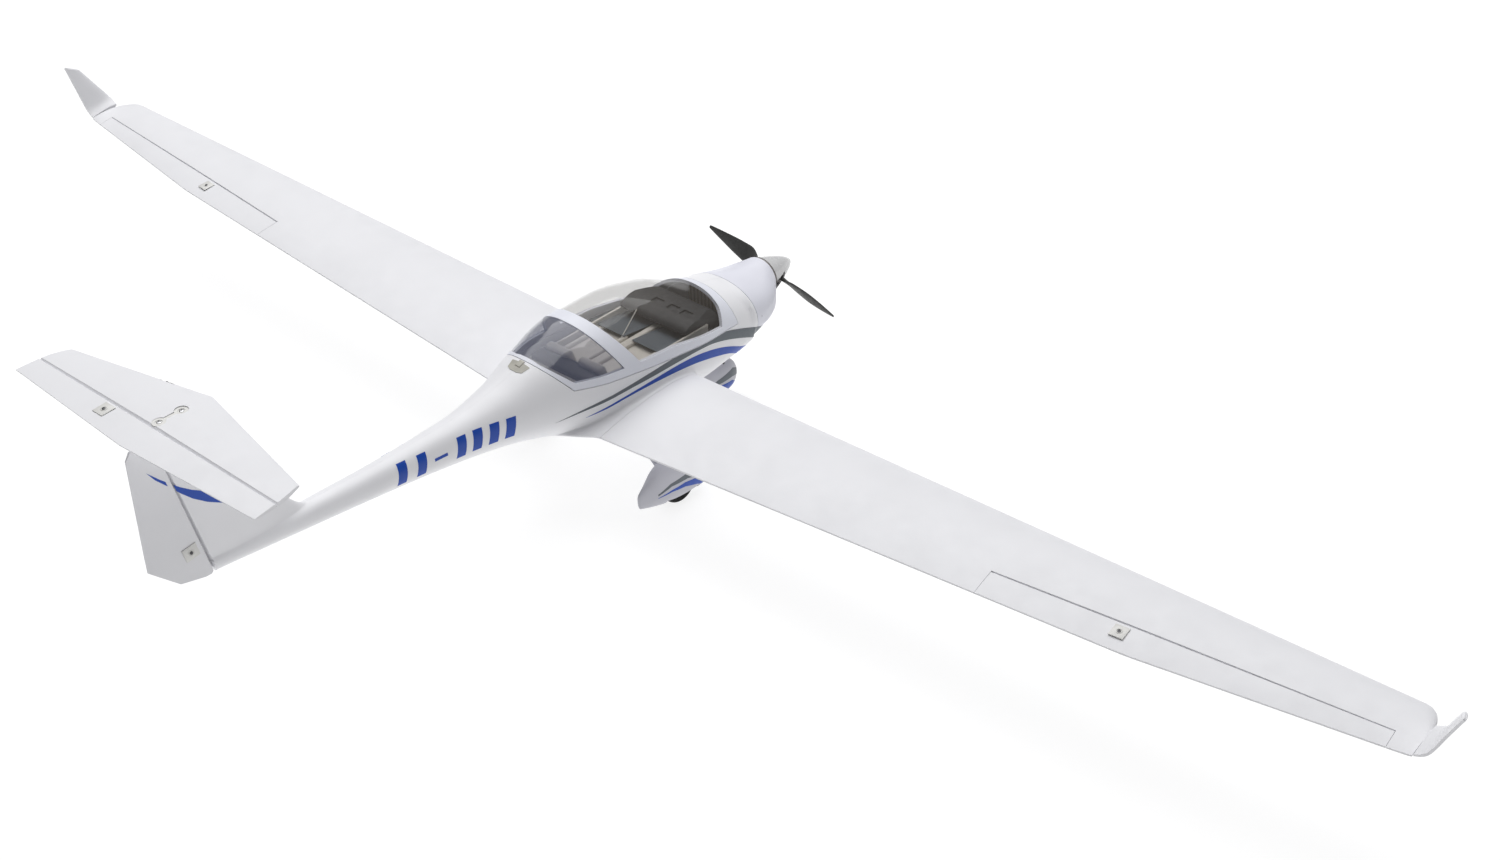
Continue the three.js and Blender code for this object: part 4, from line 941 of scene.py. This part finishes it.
MAIN_SPAT_STRIPES = {
    "grey": (GREY, [(24, -83), (8, -76), (-18, -75), (-46, -82), (-46, -92), (-18, -82), (6.6, -80),
                    (24, -85)]),
    "blue": (BLUE, [(24, -87.6), (6, -85), (-14, -85), (-34, -90), (-52, -99), (-50, -109), (-34, -99.5),
                    (-14, -91), (6, -87.6), (24, -88.2)]),
}
NOSE_SPAT_STRIPES = {
    "grey": (GREY, [(-150, -84), (-178, -78), (-208, -76), (-222, -84), (-222, -92), (-205, -86), (-178, -84),
                    (-150, -85)]),
    "blue": (BLUE, [(-158, -89), (-180, -87), (-205, -91), (-215, -99), (-200, -101), (-180, -93),
                    (-158, -90)]),
}


def make_main_gear():
    axle = GROUND + 23
    whole = spat(MAIN_SPAT, 105)
    shell = minus(copy(whole), wheel_well(105, -15, 23, 14), bar((85, -15, axle), (105, -15, axle), 1.8))
    rings = []
    for cx, cz, chord, thick in curve_rows([(34, -30, 30, 7), (60, -56, 22, 6), (90, -89, 15, 4.5)], 9):
        rings.append(circle((cx, -15, cz), (0, 1, 0), (0.7, 0, 0.7), chord / 2, thick / 2, 40))
    leg = minus(loft(rings), skin(-90, 60, 0.2), copy(whole))
    join(leg, bar((88.5, -15, axle), (113.2, -15, axle), 1.5, 24))
    join(leg, bar((86, -15, axle + 0.6), (91.4, -15, axle), 4.2, 32))
    for sign, side in ((-1, "right"), (1, "left")):
        here = mirrored if sign < 0 else lambda piece: piece
        settle(here(leg), f"main_leg_skin_{side}", "airframe", SHADED_GEAR_FOAM, [f"main_leg_{side}"])
        source = mirrored(whole) if sign < 0 else copy(whole)
        for tag, (material, outline) in MAIN_SPAT_STRIPES.items():
            cutter = prism(outline, *sorted((sign * 105, sign * 160)))
            settle(film(source, cutter), f"main_spat_{tag}_{side}", "airframe", material)
        discard(source)
        settle(here(shell), f"main_spat_skin_{side}", "airframe", SHADED_GEAR_FOAM, [f"main_spat_{side}"])
        wheel(sign * 105, -15, 23, 14, f"main_wheel_{side}", f"main_wheel_{side}")
    discard(whole)


def make_nose_gear():
    nose = spat(NOSE_SPAT, 0)
    for side, tag in ((1, "left"), (-1, "right")):
        for colour, (material, outline) in NOSE_SPAT_STRIPES.items():
            cutter = prism(outline, *sorted((side * 0.5, side * 60)))
            settle(film(nose, cutter), f"nose_spat_{colour}_{tag}", "nose_gear", material)
    fork_room = box(-10.2, 10.2, -193.5, -179.5, -CUT, -70.5)
    shell = minus(nose, wheel_well(0, -185, 20, 13), fork_room, bar((0, -190, -80), (0, -190, -50), 2.3))
    settle(shell, "nose_spat_skin", "nose_gear", SHADED_GEAR_FOAM, ["nose_spat"])
    screw((-8, -195, -64.2), (-0.55, -0.1, 0.85), 1.6, "nose_spat_screw", "nose_gear")
    wheel(0, -185, 20, 13, "nose_wheel", "nose_wheel")


# ---------------------------------------------------------------- propeller
LEAN = Matrix.Translation((0, 0, THRUST_Z)) @ Matrix.Rotation(-math.radians(PROP_LEAN), 4, "Y")
AXIS = basis((1, 0, 0), (0, 0, 1), (0, -1, 0))  # turned profiles grow forwards


def make_propeller():
    place = LEAN @ AXIS
    base, tip = 275.5, 323.5
    ogive = [(23.2 * (1 - t) ** 0.62 if t < 1 else 0.05, base + (tip - base) * t)
             for t in [1 - (1 - k / 40) ** 1.6 for k in range(41)]]
    inner = [(max(0.05, r - 1.6), s - 1.0) for r, s in ogive]
    slots = [box(*sorted((9 * side, 40 * side)), PIN_Y - 7, -270, -6.5, 6.5, LEAN) for side in (1, -1)]
    spinner = minus(lathe(ogive, place, 96), lathe([(21.4, 270)] + inner[:-1], place, 64))
    minus(spinner, *slots, keep=True)
    dimple = place @ Vector((0, 0, 306))
    direction = Vector((0.30, 0, 0.954))
    minus(spinner, bar(dimple + direction * 11.5, dimple + direction * 40, 1.6, 20))
    settle(spinner, "spinner_shell", "rotor", GLOSS_WHITE, ["spinner"], 40)
    hub = lathe([(22.6, 272.2), (23.2, 272.8), (23.2, 274.7), (22.6, 275.2)], place, 96)
    minus(hub, *slots)
    hub = join(hub, box(-7.4, 7.4, PIN_Y - 4, -273.2, -5.5, 5.5, LEAN, soft=0.8))
    for side in (1, -1):
        for face in (1, -1):
            x0, x1 = sorted((side * 7, side * 16))
            ear = box(x0, x1, PIN_Y - 4, -275.2, face * 4.4 - 1.1, face * 4.4 + 1.1, LEAN, soft=0.4, steps=2)
            join(hub, ear)
    minus(hub, bar(LEAN @ Vector((0, -267, 0)), LEAN @ Vector((0, -300, 0)), 2.8))
    settle(hub, "hub_ring", "rotor", TAUPE, ["prop_hub"], 30)
    rows = [(12, 5.4, 5, 0), (17, 5.4, 5, 0), (22, 7, 4.4, 30), (28, 14, 3.8, 40), (36, 20.6, 3.4, 33),
            (48, 19.6, 3, 26), (60, 17.4, 2.5, 19.5), (74, 13.2, 2, 15.5), (88, 8.4, 1.6, 14),
            (98.8, 4, 1.2, 14)]  # radius, chord, thickness, twist

    def ring(r, chord, thick, twist, turn_round):
        turn = -math.radians(twist)
        out = []
        for i in range(36):
            a = math.tau * i / 36
            c, t = chord / 2 * math.cos(a), thick / 2 * math.sin(a) * (1 - 0.25 * math.cos(a))
            along_y = PIN_Y + c * math.sin(turn) + t * math.cos(turn)
            p = Vector((r, along_y, c * math.cos(turn) - t * math.sin(turn)))
            out.append(LEAN @ turn_round @ p)
        return out

    for turn_round, side in ((Matrix.Identity(4), "left"), (Matrix.Rotation(math.pi, 4, "Y"), "right")):
        fine = curve_rows(rows[1:], 6)
        last = fine[-1]
        for reach, share in ((0.5, 0.85), (0.9, 0.6), (1.1, 0.3)):
            fine.append([last[0] + reach, last[1] * share, last[2] * share, last[3]])
        blade = loft([ring(*rows[0], turn_round)] + [ring(*row, turn_round) for row in fine])
        eye = [LEAN @ turn_round @ Vector((PIN_R, PIN_Y, z)) for z in (-2.9, 2.9)]
        join(blade, bar(*eye, 4, 36))
        way = (eye[1] - eye[0]).normalized()
        minus(blade, bar(eye[0] - way * 4, eye[1] + way * 4, 1.7))
        settle(blade, f"blade_skin_{side}", f"blade_{side}", BLADE, [f"blade_{side}"], 40)
        pin = lathe([(0.6, -5.9), (1.35, -5.6), (1.35, 5.6), (2.6, 5.6), (2.6, 6.4), (1.9, 6.9), (0.6, 7)],
                    LEAN @ turn_round @ Matrix.Translation((PIN_R, PIN_Y, 0)), 28)
        settle(pin, f"blade_pin_{side}", "rotor", BRONZE, (), 30)


# ---------------------------------------------------------------- markings
STRIPES = {  # outlines in y and z: the upper edge forwards, then the lower edge back
    "grey": (GREY, [(94, 20.6), (50, 28.2), (31, 30), (7, 31.3), (-18, 32.5), (-44, 33.2), (-71, 33),
                    (-95, 32), (-117, 29.8), (-139, 24.6), (-160, 17.9), (-182, 9.2), (-204, -1),
                    (-226, -13), (-223, -25), (-202, -14), (-180, -2), (-157, 8.4), (-135, 16.6),
                    (-113.5, 22.6), (-93, 25), (-69, 25.9), (-43, 26.6), (-17, 27), (8, 27), (32, 26.2),
                    (50, 24.7), (94, 20.2)]),
    "blue": (BLUE, [(63, 14.2), (50, 17.2), (32, 20), (9, 21.6), (-16, 22.8), (-38, 23.1), (-61, 22.8),
                    (-84, 21.4), (-104, 18.4), (-125, 12.6), (-147, 3.7), (-168, -7.4), (-187, -19),
                    (-184, -33), (-167, -18.5), (-147, -5.6), (-123.5, 3.3), (-102, 9.3), (-83, 12.9),
                    (-60, 15.9), (-37, 17.8), (-15, 19), (9, 18.9), (33, 17.4), (63, 13.8)]),
}
CRESCENT = [(541, 176.9), (530, 164.4), (519.6, 153.8), (512.5, 147), (501.4, 138.2), (485.9, 128.5),
            (470, 119), (452, 110), (452, 97), (464, 103.6), (476.3, 110.4), (490.1, 118.9), (503.2, 129.6),
            (513.8, 141), (520.5, 149.8), (534, 165.5)]
BAR_FEET = [(147, 22), (166, 23), (185.5, 24), (205, 24.4), (254, 26.6), (278, 28)]
BAR_HEIGHT = 22.5
DASH = [(224, 34.6), (240, 34.9), (240, 38.2), (224, 38)]
LATCH_PLATE = [(-13, 99.5), (13, 99.5), (10.5, 109), (5, 111.5), (-5, 111.5), (-10.5, 109)]


def boom_outlines():
    """Four plain slanted bars, a short dash and two more bars, from the cabin backwards."""
    bars = []
    for y, z in BAR_FEET:
        top = z + BAR_HEIGHT
        bars.append([(y - 2, z), (y + 9, z + 0.6), (y + 4, top), (y - 7, top - 0.4)])
    return bars[:4] + [DASH] + bars[4:]


def make_crescent(body, rudder, side, tag):
    """Only the broad sides of the fin and rudder carry it, so their hinge faces stay out of the cutter."""
    thin = (0.4, 40) if side > 0 else (-40, -0.4)
    fin_room = prism([(430, 90), (507.6 - 1.7, 90), (527.4 - 1.7, 189), (430, 189)], -50, 50)
    rudder_gap = prism([(400, 80), (505.5 + 2.2, 80), (525.5 + 4.2, 180), (400, 180)], -50, 50)
    front = common(prism(CRESCENT, *thin), fin_room)
    behind = minus(prism(CRESCENT, *thin), rudder_gap)
    settle(film(body, front), f"crescent_fin_{tag}", "airframe", BLUE)
    settle(film(rudder, behind), f"crescent_rudder_{tag}", "rudder", BLUE)


def make_markings(rudder):
    body = minus(copy(OUTER), hatch_room(SEAM + 0.2))
    for side, tag in ((1, "left"), (-1, "right")):
        span = (6, 150) if side > 0 else (-150, -6)
        for colour, (material, outline) in STRIPES.items():
            outline = smooth_outline(outline)
            settle(film(body, prism(outline, *span)), f"stripe_{colour}_{tag}", "airframe", material)
            if colour == "grey":
                settle(film(COWL, prism(outline, *span)), f"stripe_{colour}_cowl_{tag}", "airframe",
                       material)
        for k, outline in enumerate(boom_outlines()):
            settle(film(body, prism(outline, *span)), f"boom_bar_{k + 1}_{tag}", "airframe", BLUE)
        make_crescent(body, rudder, side, tag)
    latch = prism(LATCH_PLATE, 60, 120, PLAN)
    settle(film(body, latch, 0.5, 1.0), "latch_plate", "airframe", LATCH)
    tilt = (Matrix.Translation((0, 102, 75.9)) @ Matrix.Rotation(-0.30, 4, "X")
            @ Matrix.Translation((0, -102, 0)))
    tongue = box(-3.6, 3.6, 97, 105.5, -0.2, 0.9, tilt, soft=0.4)
    settle(tongue, "latch_tongue", "canopy", LATCH)
    discard(body)


make_fuselage()
make_cowl()
make_canopy()
make_cabin()
make_wings()
make_winglets()
make_stabilizer()
rudder_source = make_rudder()
make_main_gear()
make_nose_gear()
make_propeller()
make_markings(rudder_source)
for spare in (OUTER, COWL, FIN_SOLID, rudder_source):
    discard(spare)

# ---------------------------------------------------------------- finishes of the CAD pieces that stay
KEPT = {
    "steel": STEEL, "horn_plastic": NYLON, "dark_plastic": RESIN_DARK, "plywood": PLY, "carbon": CARBON,
    "battery_wrap": WRAP, "motor_metal": MOTOR, "tyre": RUBBER, "foam": WHITE_FOAM, "interior": SEAT,
    "smoked_glass": SMOKE, "prop_plastic": BLADE, "spinner_white": GLOSS_WHITE,
}
SLOT_OF = {part["node"]: part["material_slot"] for part in frame["record"]["subparts"]}
for name, node in nodes.items():
    node.data.materials.clear()
    node.data.materials.append(KEPT[SLOT_OF[name]])


# ---------------------------------------------------------------- floor and light
def make_floor():
    mat, tree, bsdf = shader("pale_floor", (0.28, 0.28, 0.28), 0.9, Emission_Color=(1, 1, 1, 1),
                             Emission_Strength=0.82, Specular_IOR_Level=0.1)
    tone = ramp(tree, pattern(tree, "noise", 0.7, 2), [(0.3, (0.27, 0.27, 0.27)), (0.7, (0.28, 0.28, 0.28))])
    tree.links.new(tone, bsdf.inputs["Base Color"])
    mesh = bpy.data.meshes.new("floor")
    mesh.from_pydata([(-14, -14, 0), (14, -14, 0), (14, 14, 0), (-14, 14, 0)], [], [(0, 1, 2, 3)])
    mesh.materials.append(mat)
    floor = bpy.data.objects.new("floor", mesh)
    floor.location.z = -0.0005
    scene.collection.objects.link(floor)


def make_sky():
    """A dim sky. What is seen past the floor is as pale as the floor, but it gives no more light."""
    world = bpy.data.worlds.new("soft_sky")
    world.use_nodes = True
    sky = world.node_tree
    dim, pale = sky.nodes["Background"], sky.nodes.new("ShaderNodeBackground")
    dim.inputs["Color"].default_value = (0.96, 0.97, 1.0, 1)
    dim.inputs["Strength"].default_value = 0.15
    pale.inputs["Color"].default_value = (1, 1, 1, 1)
    seen, mix = sky.nodes.new("ShaderNodeLightPath"), sky.nodes.new("ShaderNodeMixShader")
    sky.links.new(seen.outputs["Is Camera Ray"], mix.inputs["Fac"])
    sky.links.new(dim.outputs["Background"], mix.inputs[1])
    sky.links.new(pale.outputs["Background"], mix.inputs[2])
    sky.links.new(mix.outputs["Shader"], sky.nodes["World Output"].inputs["Surface"])
    scene.world = world


def make_light():
    data = bpy.data.lights.new("overhead", "AREA")
    data.shape, data.size, data.size_y = "RECTANGLE", 5.0, 5.0
    data.energy = 235
    light = bpy.data.objects.new("overhead", data)
    light.location = (1.0, -1.3, 4.0)
    light.rotation_euler = (-light.location).to_track_quat("-Z", "Y").to_euler()
    scene.collection.objects.link(light)
    scene.view_settings.view_transform = "Standard"


make_floor()
make_sky()
make_light()
